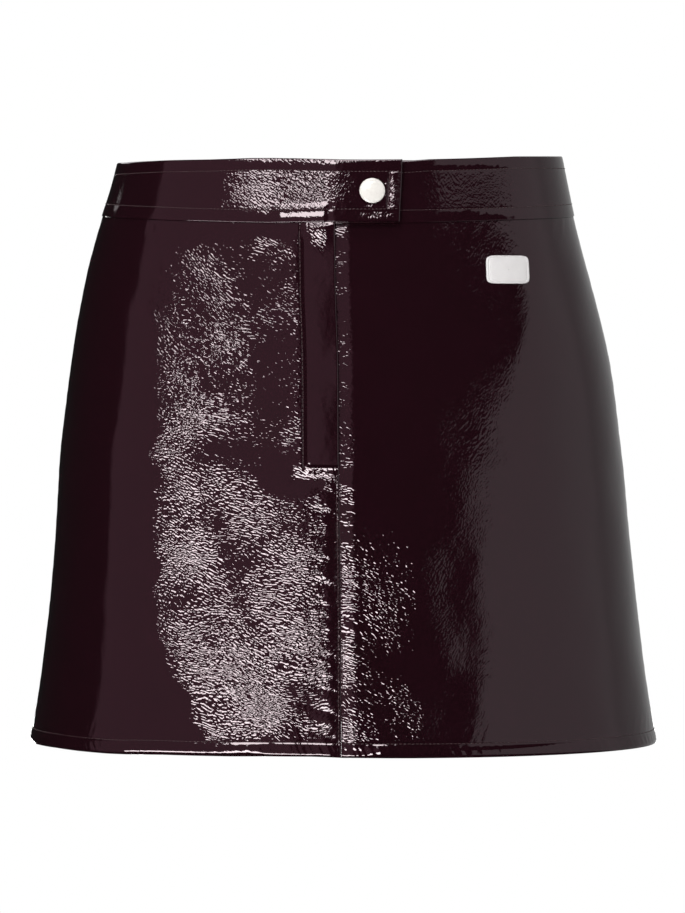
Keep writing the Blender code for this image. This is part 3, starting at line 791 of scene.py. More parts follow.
# %% Maps for the patent finish
def crinkle_map(s, z, strength, lay):
    """The grids that the patent finish reads.

    The places are warped a little, so that the wrinkles curve. lay is how much there is of each
    set of wrinkles: slanted ones, flatter ones, and steep ones that cross them.
    """
    bend_s, bend_z = 2.2 * drift(s, z, 42.0, 31), 2.2 * drift(s, z, 38.0, 32)
    fine_s, fine_z = 0.35 * drift(s, z, 9.0, 33), 0.35 * drift(s, z, 8.0, 34)
    where = np.stack([s + bend_s + fine_s, z + bend_z + fine_z, 0.0 * s], axis=-1) * MM
    return {"cloth_place": where, "crinkle": strength, "lay": lay}


def above_roll(s, z):
    """1 above the hem's stitches, and little in the roll."""
    return 0.12 + 0.88 * smooth((above_fold(s, z) - HEM_STITCH - 0.5) / 3.0)


def panel(name, s, z, faces, maps, fine_columns=()):
    """A panel's wall, whose inner face keeps every row of the hem."""
    rows = thinned(s.shape[0], 4, [(s.shape[0] - HEM_ROWS, s.shape[0])])
    return cloth_wall(name, s, z, *faces, (patent, backing), maps, rows,
                      thinned(s.shape[1], 4, fine_columns))


print("a panel's inner face keeps every row of the hem and a quarter of the others")

# %% [markdown]
# ### Folded edges
#
# The fly's edge, the top of the waistband and the end of its tab are folds.  There the two faces
# bend towards each other and meet in half a circle.

# %% A round fold
def fold_edge(outer, inner, apart):
    """Both faces meet in a round fold at an edge."""
    radius = np.maximum((outer - inner) / 2, 0.01)
    reach = np.clip(apart / radius, 0.0, 1.0)
    drop = radius * (1.0 - np.sqrt(1.0 - (1.0 - reach) ** 2))
    return outer - drop, inner + drop


print("a fold is as round as half the cloth's thickness")

# %% [markdown]
# ### The right front, with the fly
#
# The fly is a folded flap that lies over the left front and hides the zip.  Its facing makes
# it thick and smooth, and a line of stitches 22 mm from the fold holds it.  Where that line
# turns in at the bottom, the thread pulls the cloth into a small bright pucker.

# %% Right front
def right_front():
    near_end = 30.0  # so far the columns next to the fly's edge stand closer together
    in_near = graded(near_end, (0, 0.12), (1.2, 0.3), (3.5, 0.5), (5, 0.9), (20.5, 0.9),
                     (21.8, 0.35), (23.2, 0.35), (25, 0.9), (near_end, 1.2))
    shares = np.linspace(0.0, 1.0, 178)[1:]
    seam_side = girths_at(SEAM_Z)[0]
    across = np.concatenate([in_near, near_end + (seam_side + FLY_EDGE - near_end) * shares])
    turn = -(across - FLY_EDGE) / seam_side
    z = panel_heights(np.minimum(turn, 0.0), graded(PANEL_TALL, *FRONT_STEPS))
    side, _ = girths(z)
    near = FLY_EDGE - near_end
    share = np.concatenate([np.zeros(len(in_near)), shares])[None, :]
    s = np.where(share > 0, near + (SEW_GAP / 2 - side - near) * share,
                 FLY_EDGE - np.concatenate([in_near, 0 * shares])[None, :])
    apart = FLY_EDGE - s  # from the fly's edge
    below_seam = waist_seam_z(0.0) - z

    # the flap, and its stitches
    outer, inner = panel_faces(s, z, s)
    lift = right_front_lift(s, z)
    below_fly = smooth((FLAP_END[0] - z) / 10.0)
    outer, inner = outer + 0.6 * flap_rise(s, z) + lift, inner + lift
    stitched_down = bell(apart - FLY_WIDTH, 0.55) * smooth((z - FLY_BOTTOM) / 0.6 + 1.0)
    outer = outer - 0.45 * stitched_down
    beside = bell(apart - FLY_WIDTH - 4.0, 3.0) * (1.0 - below_fly)
    outer = outer + beside * (0.2 + 0.06 * ripple((z + 0.5 * apart) / 6.5, 41))
    end_pucker = bell(z - FLY_BOTTOM + 2.5, 2.6) * smooth((28.0 - apart) / 4.0)
    outer = outer + end_pucker * 0.10 * ripple((s + 0.3 * z) / 2.6, 43)

    # the bulge where the flap's top is gathered, the centre seam's valley, and the side seam
    bulge = 1.1 * bell(np.hypot(s + 12.0, below_seam - 3.0), 9.0)
    bulge = bulge * smooth((s + 26.0) / 6.0) * smooth(below_seam / 3.0)
    valley = below_fly * (0.6 * bell(apart, 4.8) + 0.4 * bell(apart, 0.7))
    valley = valley + below_fly * 0.10 * bell(apart - EDGE_STITCH, 0.5)
    pucker = below_fly * bell(apart, 15.0) * smooth(apart / 5.0)
    pucker = pucker * 0.26 * ripple((z - 0.35 * apart) / 8.5, 42)
    shift = bulge - valley + pucker - side_tuck(side + s, z, 44)
    outer, inner = outer + shift, inner + shift
    folded_outer, folded_inner = fold_edge(outer, inner, apart)
    outer = folded_outer + (outer - folded_outer) * below_fly
    inner = folded_inner + (inner - folded_inner) * below_fly

    # where the cloth is crinkled: not on the fly, but for a corner at its top
    on_panel = np.maximum(smooth((apart - FLY_WIDTH + 0.6) / 1.2),
                          smooth((FLY_BOTTOM + 0.6 - z) / 1.2))
    border = -126.0 + 27.0 * smooth((-z - 287.0) / 60.0) + 3.5 * drift(s, z, 16.0, 45)
    strength = smooth((s - border) / 9.0) * (0.03 + 0.97 * on_panel)
    strength = strength * above_roll(s, z) * calmed(s, z)
    corner = smooth((s + 25.5 - 0.8 * np.maximum(below_seam - 4.0, 0.0)) / 3.0)
    corner = corner * smooth((-6.5 - s) / 2.0) * (1.0 - smooth((below_seam - 15.0) / 8.0))
    strength = np.maximum(strength * (0.97 - 0.19 * smooth((-z - 150.0) / 60.0)), corner)
    strength = strength * (1.0 - 0.4 * end_pucker)
    strength = strength * (1.0 - end_pucker * smooth((11.0 - apart) / 4.0))
    strength = strength * (1.0 + 0.25 * smooth((-s - 70.0) / 30.0) * smooth((-z - 90.0) / 50.0))
    slanted = smooth((z + 190.0) / 120.0) * 0.8 + 0.4 * smooth((-s - 95.0) / 25.0)
    slanted = np.minimum(slanted, 1.0)
    steep = 0.30 - 0.14 * smooth((z + 200.0) / 60.0)
    turning = 0.012 * np.maximum(s + 34.0, 0.0) ** 2 * smooth((-z - 200.0) / 25.0)
    maps = crinkle_map(s, z - turning, strength,
                       np.stack([slanted, 1.0 - slanted, steep], axis=-1))
    return panel("front_right_cloth", s, z, (outer, inner), maps, [(0, 6)])


front_right = right_front()

# %% [markdown]
# ### The left front
#
# It runs on under the fly, and below it meets the right front in the centre seam.  Next to the
# seam it swells a little, because the other side is stitched down and this side isn't.

# %% Left front
def left_front():
    near_wide = 36.0  # columns stand closer together over this width
    from_edge = graded(near_wide, (0, 0.2), (6, 0.3), (9, 0.6), (14, 0.9), (near_wide, 1.2))
    shares = np.linspace(0.0, 1.0, 178)[1:]
    seam_side = girths_at(SEAM_Z)[0]
    start = FLY_EDGE - UNDERLAP
    across = np.concatenate([start + from_edge,
                             start + near_wide + (seam_side - start - near_wide) * shares])
    z = panel_heights(np.maximum(across / seam_side, 0.0), graded(PANEL_TALL, *FRONT_STEPS))
    side, _ = girths(z)
    out_from_under = smooth((UNDERLAP_END[0] - z) / (UNDERLAP_END[0] - UNDERLAP_END[1]))
    edge = start + out_from_under * (UNDERLAP + SEW_GAP)
    near = edge + near_wide - out_from_under * UNDERLAP
    count = len(from_edge)
    s_near = edge[:, :count] + (near - edge)[:, :count] * (from_edge / near_wide)[None, :]
    share = np.concatenate([np.zeros(count), shares])[None, :]
    s_far = near + (side - SEW_GAP / 2 - near) * share
    s = np.concatenate([s_near, s_far[:, count:]], axis=1)
    apart = s - FLY_EDGE

    outer, inner = panel_faces(s, z, s)
    below_fly = smooth((FLAP_END[0] - z) / 10.0)
    valley = below_fly * 0.5 * bell(apart, 0.8) + 0.75 * bell(np.maximum(apart, 0.0), 7.0)
    swollen = 0.30 * bell(apart - 7.0, 5.0)
    pucker = bell(apart, 16.0) * smooth(apart / 4.0) * (0.5 + 0.5 * below_fly)
    pucker = pucker * 0.07 * ripple((z + 0.2 * apart) / 7.0, 51)
    shift = swollen - valley + pucker - side_tuck(side - s, z, 52)
    outer, inner = outer + shift, inner + shift

    # crinkled in clumps next to the fly and the seam, and then low down
    low = smooth((-z - 200.0) / 50.0)
    clumps = 0.42 + 0.12 * ripple(z / 24.0, 53) + 0.25 * low - 0.14 * smooth((z + 80.0) / 20.0)
    for height, width, more in ((-166.0, 11.0, 0.28), (-184.0, 6.0, -0.36), (-28.0, 3.5, 0.45),
                                (-42.0, 8.0, -0.16)):
        clumps = clumps + more * bell(z - height, width)
    beside = 1.0 - smooth((s - 4.0) / (7.0 + 7.0 * smooth((-z - 150.0) / 20.0)))
    sparse = (0.10 + 0.14 * smooth((s - 45.0) / 25.0)) * (1 - low)
    strength = np.maximum(clumps * beside, sparse + 0.68 * low)
    fading = 1.0 - smooth((s - 92.0 + 48.0 * low) / 38.0)
    rest = 0.10 * smooth((s - 60.0) / 20.0) * (1.0 - smooth((s - 118.0) / 30.0))
    strength = np.maximum(strength * fading, rest) * above_roll(s, z) * calmed(s, z)
    steep = smooth((s - 36.0) / 30.0)
    maps = crinkle_map(s, z, strength,
                       np.stack([0.25 * steep, 1.0 - steep, 0.85 * steep], axis=-1))
    return panel("front_left_cloth", s, z, (outer, inner), maps)


front_left = left_front()

# %% [markdown]
# ### The back
#
# One piece, shaped over the seat by two darts.  The photo doesn't show it, so its creases are
# a guess at what sitting and walking leave: shallow, and slanting in below the seat.

# %% Back
def round_the_back(count, rounded):
    """Shares of the way across the back, and how far round the waist each is."""
    even = np.linspace(0.0, 1.0, count)
    shares = (1.0 - rounded) * even + rounded * (1 - np.cos(np.pi * even)) / 2
    side, half = girths_at(SEAM_Z)
    turn = turn_at(side + 2 * (half - side) * shares, np.full(shares.shape, SEAM_Z))
    return shares, turn


def across_back(z, shares):
    """Places between the side seams at each height."""
    side, half = girths(z)
    edge = side + SEW_GAP / 2
    return edge + (2 * half - 2 * edge) * shares[None, :], side, half


def back_panel():
    shares, turn = round_the_back(281, 0.25)  # closer together at the sides
    z = panel_heights(turn, graded(PANEL_TALL, (0, 0.3), (2, 0.6), (8, 1.9), (322, 1.9),
                                   (326, 0.6), (334, 0.5), (337, 0.35)))
    s, side, half = across_back(z, shares)
    outer, inner = panel_faces(s, z, s)
    tuck = side_tuck(s - side, z, 61) + side_tuck(2 * half - side - s, z, 62)
    strength = (1.0 - smooth((np.abs(s - half) - 120.0) / 90.0)) * above_roll(s, z)
    strength = 0.75 * strength * (0.75 + 0.35 * drift(s, z, 90.0, 63)).clip(0.2, 1.1)
    slanted = smooth((z + 240.0) / 140.0)
    lay = np.stack([0.7 * slanted, 1.0 - 0.5 * slanted, 0.25 + 0 * s], axis=-1)
    return panel("back_cloth", s, z, (outer - tuck, inner - tuck),
                 crinkle_map(s, z, strength, lay))


back = back_panel()

# %% [markdown]
# ## The waistband
#
# Two layers of cloth with stiffening between them, stitched all round 8 mm from the edges.
# Between a row of stitches and the edge the layers puff up a little, and the middle stays flat.

# %% Rows and faces of the band
BAND_TALL = 41.1  # at the middle of the front
BAND_FIXED = 16.0  # so far from either edge, heights don't stretch with the band
TOP_STITCH, SEAM_STITCH, TAB_STITCH = 8.0, 8.0, 8.0  # from the top edge, the seam and the tab's end
BAND_STEPS = ((0, 0.12), (1.4, 0.35), (6.5, 0.7), (7.5, 0.3), (8.5, 0.3), (10, 0.8), (30, 0.8),
              (31.6, 0.3), (32.6, 0.3), (34, 0.6), (38.5, 0.45), (40, 0.25), (41.1, 0.15))


def band_grid(turn):
    """Heights in each column: distances from both edges are kept, and the middle stretches."""
    down = graded(BAND_TALL, *BAND_STEPS)[:, None]
    top, seam = top_z(turn)[None, :], waist_seam_z(turn)[None, :] + SEW_GAP
    tall = top - seam
    stretch = (tall - 2 * BAND_FIXED) / (BAND_TALL - 2 * BAND_FIXED)
    fall = np.where(down < BAND_FIXED, down, BAND_FIXED + (down - BAND_FIXED) * stretch)
    fall = np.where(down > BAND_TALL - BAND_FIXED, tall - (BAND_TALL - down), fall)
    return top - fall, fall, tall - fall


def band_faces(s, from_top, from_seam, seed):
    """The band's faces, puffed along both edges and drawn in at the rows of stitches."""
    climbing = smooth((s + 42.0) / 6.0) * smooth((-6.0 - s) / 3.0)  # over its other end
    puffs = 0.05 * bell(from_top - 4.2, 2.6) + 0.04 * bell(from_seam - 3.4, 2.9)
    ridges = 0.6 * bell(from_seam - 2.6, 4.0) + 0.34 * bell(from_seam - 9.2, 2.2)
    puffs = puffs + climbing * ridges
    from_rows = from_top - TOP_STITCH, from_seam - SEAM_STITCH
    grooves = 0.03 * bell(from_rows[0], 0.75) + 0.02 * bell(from_rows[1], 0.8)
    pucker = 0.015 * ripple((s + 0.4 * from_top) / 4.6, seed)
    pucker = pucker * (bell(from_rows[0], 4.0) + bell(from_rows[1], 4.0))
    outer = BAND_OUT - 0.12 + puffs - grooves + pucker
    outer, inner = fold_edge(outer, BAND_IN + 0.15 * grooves, from_top)
    under = 1.0 - np.sqrt(1.0 - (1.0 - np.clip(from_seam / 0.35, 0.0, 1.0)) ** 2)
    return outer - under, inner + 0.3 * under


print(f"the band's middle is {BAND_OUT - BAND_IN:.1f} mm thick")

# %% [markdown]
# It has three pieces, sewn together at the side seams.  The right front ends in a tab, which
# climbs over the left and carries the snap.  Where it climbs, the cloth is pushed into two ridges
# along its lower edge, and they catch the light.

# %% The band's three pieces
def band_piece(name, s, heights, lift, faces, seed, creased, more=0.0):
    """creased is how strong the crinkle is along the band, and more is added to it."""
    z, from_top, from_seam = heights
    outer, inner = faces
    between = smooth((from_top - TOP_STITCH) / 1.5) * smooth((from_seam - SEAM_STITCH) / 1.5)
    strength = creased * (0.10 + 0.90 * between + 0.4 * bell(from_top - 1.0, 1.0)) + more
    lay = np.stack([0.6 + 0 * s, 0.35 + 0 * s, 0.8 + 0 * s], axis=-1)
    rows = thinned(s.shape[0], 3, [(0, 8), (s.shape[0] - 8, s.shape[0])])
    return cloth_wall(name, s, z, outer + lift, inner + lift, (patent, backing),
                      crinkle_map(s, z + 7.0 * seed, strength, lay), rows,
                      thinned(s.shape[1], 3, [(0, 8)]))


def band_front(sign, first, count, steps):
    """A front half of the band, from its inner end at s = first out to a side seam."""
    near_wide = 90.0  # columns stand closer together over this width
    from_end = graded(near_wide, *steps)
    seam_side = girths_at(SEAM_Z)[0]
    shares = np.linspace(0.0, 1.0, count)[1:]
    near = first + sign * near_wide
    s_row = np.concatenate([first + sign * from_end, near + (sign * seam_side - near) * shares])
    heights = band_grid(s_row / seam_side)
    side, _ = girths(heights[0])
    share = np.concatenate([np.zeros(len(from_end)), shares])[None, :]
    s = np.where(share > 0, near + (sign * (side - SEW_GAP / 2) - near) * share, s_row[None, :])
    return s, heights, sign * (s - first), side - np.abs(s)


def right_band():
    s, heights, from_end, to_side = band_front(-1, FLY_EDGE + TAB_LENGTH, 150, (
        (0, 0.12), (1.4, 0.35), (6.5, 0.8), (7.5, 0.3), (8.5, 0.3), (10, 0.9), (90, 1.2)))
    _, from_top, from_seam = heights
    outer, inner = band_faces(s, from_top, from_seam, 71)
    inside = smooth((from_top - TOP_STITCH) / 1.0) * smooth((from_seam - SEAM_STITCH) / 1.0)
    outer = outer + 0.40 * bell(from_end - 4.2, 2.6) * inside
    outer = outer - 0.50 * bell(from_end - TAB_STITCH, 0.75) * inside
    outer, inner = fold_edge(outer, inner, from_end)
    outer = outer - seam_tuck(to_side)

    # crinkled more and more towards the tab, and again round the snap
    creased = 0.36 * smooth((s + 84.0) / 14.0) + 0.29 * smooth((s + 60.0) / 14.0)
    creased = creased + 0.77 * smooth((s + 43.0) / 8.0)
    creased = creased * (1.0 - 0.93 * smooth((s + 10.0) / 3.0)) * (1.0 - smooth((s - 12.0) / 8.0))
    creased = creased * (1.0 - 0.7 * smooth((s + 40.0) / 5.0) * bell(from_seam - 11.2, 2.0))
    at_snap = np.maximum(1.5 * bell(s - 32.5, 4.0) * smooth((from_top - 12.0) / 4.0),
                         1.3 * bell(s - 25.0, 8.0) * bell(from_seam - 9.0, 2.0))
    on_edges = 1.6 * bell(s - 24.0, 9.0) * bell(from_seam - 4.0, 2.2)
    on_edges = on_edges + (0.35 * bell(from_top - 1.2, 0.9) * smooth((s + 58.0) / 8.0)
                           * smooth((37.0 - s) / 3.0))
    return band_piece("waistband_right_cloth", s, heights, tab_lift(s), (outer, inner), 71,
                      0.05 + 0.9 * np.maximum(creased, at_snap), on_edges)


def left_band():
    s, heights, from_end, to_side = band_front(1, FLY_EDGE - 8.0, 180,
                                               ((0, 0.3), (4, 1.2), (90, 1.2)))
    outer, inner = fold_edge(*band_faces(s, *heights[1:], 72), from_end)
    return band_piece("waistband_left_cloth", s, heights, 0.0, (outer - seam_tuck(to_side), inner),
                      72, 0.12 + 0.0 * s)


def back_band():
    shares, turn = round_the_back(320, 0.0)
    heights = band_grid(turn)
    s, side, half = across_back(heights[0], shares)
    outer, inner = band_faces(s, *heights[1:], 73)
    outer = outer - seam_tuck(s - side) - seam_tuck(2 * half - side - s)
    return band_piece("waistband_back_cloth", s, heights, 0.0, (outer, inner), 73,
                      0.45 + 0.2 * drift(s, heights[0], 60.0, 74))


bands = {"band_right": right_band(), "band_left": left_band(), "band_back": back_band()}

# %% [markdown]
# ## Sewing thread
#
# A lockstitch shows as short runs of thread, which dive into the cloth at both ends.  Each run
# is a bent rod, and so are the teeth of the zip.  All the rods of a piece are one mesh.

# %% Bent rods
def rods(name, middle, up, radius, finish, sides=6):
    """Closed bent rods. middle and up are (rods, rings, 3) and radius is (rods, rings)."""
    forward = np.gradient(middle, axis=1)
    forward /= np.linalg.norm(forward, axis=-1, keepdims=True)
    across = np.cross(forward, up)
    across /= np.linalg.norm(across, axis=-1, keepdims=True)
    up = np.cross(across, forward)
    turn = np.arange(sides)[:, None] * 2 * np.pi / sides
    wide = np.cos(turn) * across[:, :, None] + np.sin(turn) * up[:, :, None]
    points = middle[:, :, None] + radius[..., None, None] * wide
    index = np.arange(points[..., 0].size).reshape(points.shape[:3])
    beside = np.roll(index, -1, axis=2)
    quads = np.stack([index[:, :-1], index[:, 1:], beside[:, 1:], beside[:, :-1]], axis=-1)
    ends = [*index[:, 0].tolist(), *index[:, -1, ::-1].tolist()]
    mesh = bpy.data.meshes.new(name)
    mesh.from_pydata(points.reshape(-1, 3).tolist(), [], [*quads.reshape(-1, 4).tolist(), *ends])
    mesh.materials.append(finish)
    step = np.linalg.norm(np.diff(middle, axis=1), axis=-1)
    along = np.concatenate([0 * step[:, :1], np.cumsum(step, axis=1)], axis=1) / MM
    along = np.broadcast_to(along[..., None], index.shape).ravel()
    round_it = np.broadcast_to(np.arange(sides) / sides, index.shape).ravel()
    corners = np.empty(len(mesh.loops), np.int32)
    mesh.loops.foreach_get("vertex_index", corners)
    twist = mesh.uv_layers.new(name="twist")
    twist.data.foreach_set(
        "uv", np.stack([along[corners], round_it[corners]], axis=-1).astype(np.float32).ravel())
    mesh.shade_smooth()
    return link(name, mesh)


print("a rod has six sides and two flat ends")

# %% [markdown]
# Where a stitch lies is found by casting a line straight in at the cloth, so it follows every
# swell and pucker that it crosses.

# %% Stitches along a line
STITCH_SHOWS = 0.84  # the share of a stitch's pitch that lies on top
THREAD = 0.45  # thickness
ABOVE, DIVE = 0.12, 0.45  # a stitch's middle stands this far out, and its ends dive by so much
CAST_FROM = 9.0  # how far out the search for the cloth starts


def stitched(cloth, lines, pitch=2.7):
    """Rows of stitches on a piece of cloth. lines are pairs of s and z arrays."""
    mesh = cloth.data
    faces = BVHTree.FromPolygons([corner.co for corner in mesh.vertices],
                                 [face.vertices for face in mesh.polygons])
    along = np.linspace(-1.0, 1.0, 7)
    middles, ups = [], []
    for s, z in lines:
        path = place(s, z, 0.0)
        run = np.cumsum(np.linalg.norm(np.diff(path, axis=0, prepend=path[:1]), axis=1)) / MM
        count = int(run[-1] / pitch)
        at = (np.arange(count) + 0.5)[:, None] * run[-1] / count
        at = at + along * STITCH_SHOWS / 2 * pitch
        s_at, z_at = np.interp(at, run, s), np.interp(at, run, z)
        up = outward(s_at, z_at)
        start = place(s_at, z_at, CAST_FROM)
        hit = np.empty_like(start)
        for k in np.ndindex(start.shape[:2]):
            found = faces.ray_cast(Vector(start[k]), Vector(-up[k]), 20.0 * MM)[0]
            hit[k] = np.nan if found is None else found
        there = np.isfinite(hit).all(axis=(1, 2))
        above = (ABOVE - DIVE * along**4)[:, None] * MM
        middles.append((hit + up * above)[there])
        ups.append(up[there])
    middle = np.concatenate(middles)
    radius = THREAD / 2 * MM * np.sqrt(1.0 - 0.6 * along**6) + 0.0 * middle[..., 0]
    made = rods(cloth.name.replace("_cloth", "_thread"), middle, np.concatenate(ups), radius,
                thread)
    print(f"{made.name}: {len(middle)} stitches")
    return made


print(f"a stitch is {THREAD} mm thick")

# %% [markdown]
# A row runs all round the hem.  The right front has three more: down beside the fly, across its
# end, and on down beside the centre seam.

# %% Rows on the panels
def level_row(first, last, height):
    """A row round the skirt at heights that may depend on s."""
    s = np.linspace(first, last, 400)
    z = height(s) if callable(height) else np.full(s.shape, height)
    return s, z


hem_row = HEM_Z + HEM_STITCH
hem_side, hem_half = girths_at(hem_row)


def hem_stitches(s):
    """Heights of the hem's stitches."""
    return hem_row - hem_drop(turn_at(s, np.full(s.shape, hem_row)))


down_fly = np.linspace(waist_seam_z(np.zeros(1))[0] - 1.5, FLY_BOTTOM, 200)
down_seam = np.linspace(FLAP_END[1], hem_row, 200)
threads = [
    stitched(front_right, [
        level_row(1.0 - hem_side, FLY_EDGE - 1.0, hem_stitches),
        (np.full(200, FLY_EDGE - FLY_WIDTH), down_fly),
        level_row(FLY_EDGE - FLY_WIDTH, FLY_EDGE - 1.0, FLY_BOTTOM),
        (np.full(200, FLY_EDGE - EDGE_STITCH), down_seam),
    ]),
    stitched(front_left, [level_row(FLY_EDGE + 1.0, hem_side - 1.0, hem_stitches)]),
    stitched(back, [level_row(hem_side + 1.0, 2 * hem_half - hem_side - 1.0, hem_stitches)]),
]

# %% [markdown]
# Two rows run all round the waistband, and a third crosses the end of the tab.

# %% Rows on the waistband
BAND_Z = -5.0  # a height on the band at which places round it are measured
waist_side, waist_half = girths_at(BAND_Z)
tab_end = FLY_EDGE + TAB_LENGTH


def upper_row(s):
    """Heights of the band's upper row of stitches."""
    return top_z(turn_at(s, np.full(s.shape, BAND_Z))) - TOP_STITCH


def lower_row(s):
    """Heights of the band's lower row."""
    return waist_seam_z(turn_at(s, np.full(s.shape, BAND_Z))) + SEW_GAP + SEAM_STITCH


for node, first, last in (("band_right", 3.0 - waist_side, tab_end - 1.5),
                          ("band_left", FLY_EDGE - 6.0, waist_side - 3.0),
                          ("band_back", waist_side + 3.0, 2 * waist_half - waist_side - 3.0)):
    rows = [level_row(first, last, upper_row), level_row(first, last, lower_row)]
    if node == "band_right":
        end_s = np.full(60, tab_end - TAB_STITCH)
        rows.append((end_s, np.linspace(upper_row(end_s)[0], lower_row(end_s)[0] - SEW_GAP, 60)))
    threads.append(stitched(bands[node], rows, 2.4))

# %% [markdown]
# ## Zip
#
# A coil zip closes the front behind the fly: two rows of bent nylon teeth on a woven tape.  It
# only shows from inside.

# %% Zip tape and teeth
ZIP_WIDE, ZIP_LONG, ZIP_OUT, ZIP_THICK = 27.0, 167.0, -2.55, 1.0
ZIP_TOP, ZIP_BOTTOM = -23.9, -191.0
TOOTH_PITCH, TOOTH_RADIUS = 1.5, 0.34
ZIP_MIDDLE = FLY_EDGE + 6.0 - ZIP_WIDE / 2
tape_s = ZIP_MIDDLE + np.linspace(-0.5, 0.5, 28)[None, :] * ZIP_WIDE
tape_z = np.linspace(ZIP_TOP, ZIP_BOTTOM, 120)[:, None]
tape_s, tape_z = np.broadcast_arrays(tape_s, tape_z)
cord = 0.35 * bell(np.abs(tape_s - ZIP_MIDDLE) - 2.6, 0.9)
zip_tape = cloth_wall(
    "zip_tape_cloth", tape_s, tape_z, ZIP_OUT + 0.0 * tape_s, ZIP_OUT - ZIP_THICK + 0.3 - cord,
    (tape, tape), {"cloth_place": np.stack([tape_s, tape_z, 0 * tape_s], axis=-1) * MM},
    list(range(120)), list(range(28)))
tooth_z = np.arange(-31.0, -186.0, -TOOTH_PITCH)
side = np.array([-1.0, 1.0])
across = np.linspace(2.9, -0.5, 5)
tooth_s = ZIP_MIDDLE + side[:, None, None] * across + 0.0 * tooth_z[None, :, None]
tooth_drop = tooth_z[None, :, None] - TOOTH_PITCH / 2 * (side[:, None, None] > 0) + 0.0 * across
tooth_s, tooth_drop = (grid.reshape(-1, 5) for grid in np.broadcast_arrays(tooth_s, tooth_drop))
tooth_out = ZIP_OUT - ZIP_THICK - 0.15 - 0.35 * bell(np.linspace(-1.0, 1.0, 5), 0.9)
zip_teeth = rods(
    "zip_teeth", place(tooth_s, tooth_drop, tooth_out), outward(tooth_s, tooth_drop),
    TOOTH_RADIUS * MM * np.array([0.8, 1.0, 1.0, 1.15, 0.8]) + 0.0 * tooth_s, nylon)
print(len(tooth_s), "teeth")

# %% [markdown]
# ## Badge
#
# A plain bar of white vinyl, soft at its edges, and pressed down along a line inside them where
# it is sewn on.  Its outline is a squared ellipse, drawn at a few shares of its size.

# %% Badge
BADGE_S, BADGE_Z, BADGE_WIDE, BADGE_TALL, BADGE_THICK = 112.1, -51.9, 31.0, 18.0, 0.8
angle = np.linspace(0.0, 2 * np.pi, 97)
SQUARE = 7  # 2 would be an ellipse
far = (np.abs(np.cos(angle)) ** SQUARE + np.abs(np.sin(angle)) ** SQUARE) ** (-1 / SQUARE)
shares = np.array([1.0, 1.0, 0.985, 0.95, 0.91, 0.885, 0.86, 0.82, 0.7, 0.5, 0.25, 0.02])
rises = np.array([0.3, 0.62, 0.9, 1.0, 0.97, 0.72, 0.97, 1.02, 1.06, 1.08, 1.09, 1.09])
badge_s = BADGE_S + BADGE_WIDE / 2 * shares[:, None] * (far * np.cos(angle))[None, :]
badge_z = BADGE_Z + BADGE_TALL / 2 * shares[:, None] * (far * np.sin(angle))[None, :]
badge_out = SURFACE_GAP + BADGE_THICK * rises[:, None] + 0.0 * badge_s
badge = cloth_wall(
    "badge_bar", badge_s, badge_z, badge_out, np.minimum(SURFACE_GAP + 0.0 * badge_s, badge_out),
    (vinyl, vinyl), {"cloth_place": np.stack([badge_s, badge_z, 0 * badge_s], axis=-1) * MM},
    list(range(12)), list(range(97)))

# %% [markdown]
# ## Camera
#
# It stands 2.7 m from the middle of the skirt, with a long lens, level with the hips.  Its angle
# and field of view were worked out from how wide the waist and the hem look.

# %% Camera
FOCAL_LENGTH, PICTURE_WIDTH = 4081.6, 685  # both in pixels
SENSOR = 36.0  # mm
camera = link("camera", bpy.data.cameras.new("camera"))
camera.location = (0.00076, -2.695, -0.1085)
camera.rotation_euler = (math.radians(90 - 1.379), 0.0, 0.0)
camera.data.sensor_fit = "HORIZONTAL"
camera.data.sensor_width = SENSOR
camera.data.lens = FOCAL_LENGTH / PICTURE_WIDTH * SENSOR
bpy.context.scene.camera = camera
print(f"the lens is {camera.data.lens:.0f} mm long")

# %% [markdown]
# ## Light
#
# Patent cloth is a dark mirror, so it shows the studio more than itself.  Every light is
# therefore a panel with a shape, bent round the skirt.  It fades out over its border, as a soft
# box does.

# %% A lit panel
CENTRE = Vector((0.0, 0.0, -0.17))


def bearing(azimuth, elevation, distance):
    """A point seen from the skirt; azimuth is 0 towards the camera and grows to its left."""
    a, e = math.radians(azimuth), math.radians(elevation)
    return CENTRE + distance * Vector((-math.sin(a) * math.cos(e), -math.cos(a) * math.cos(e),
                                       math.sin(e)))


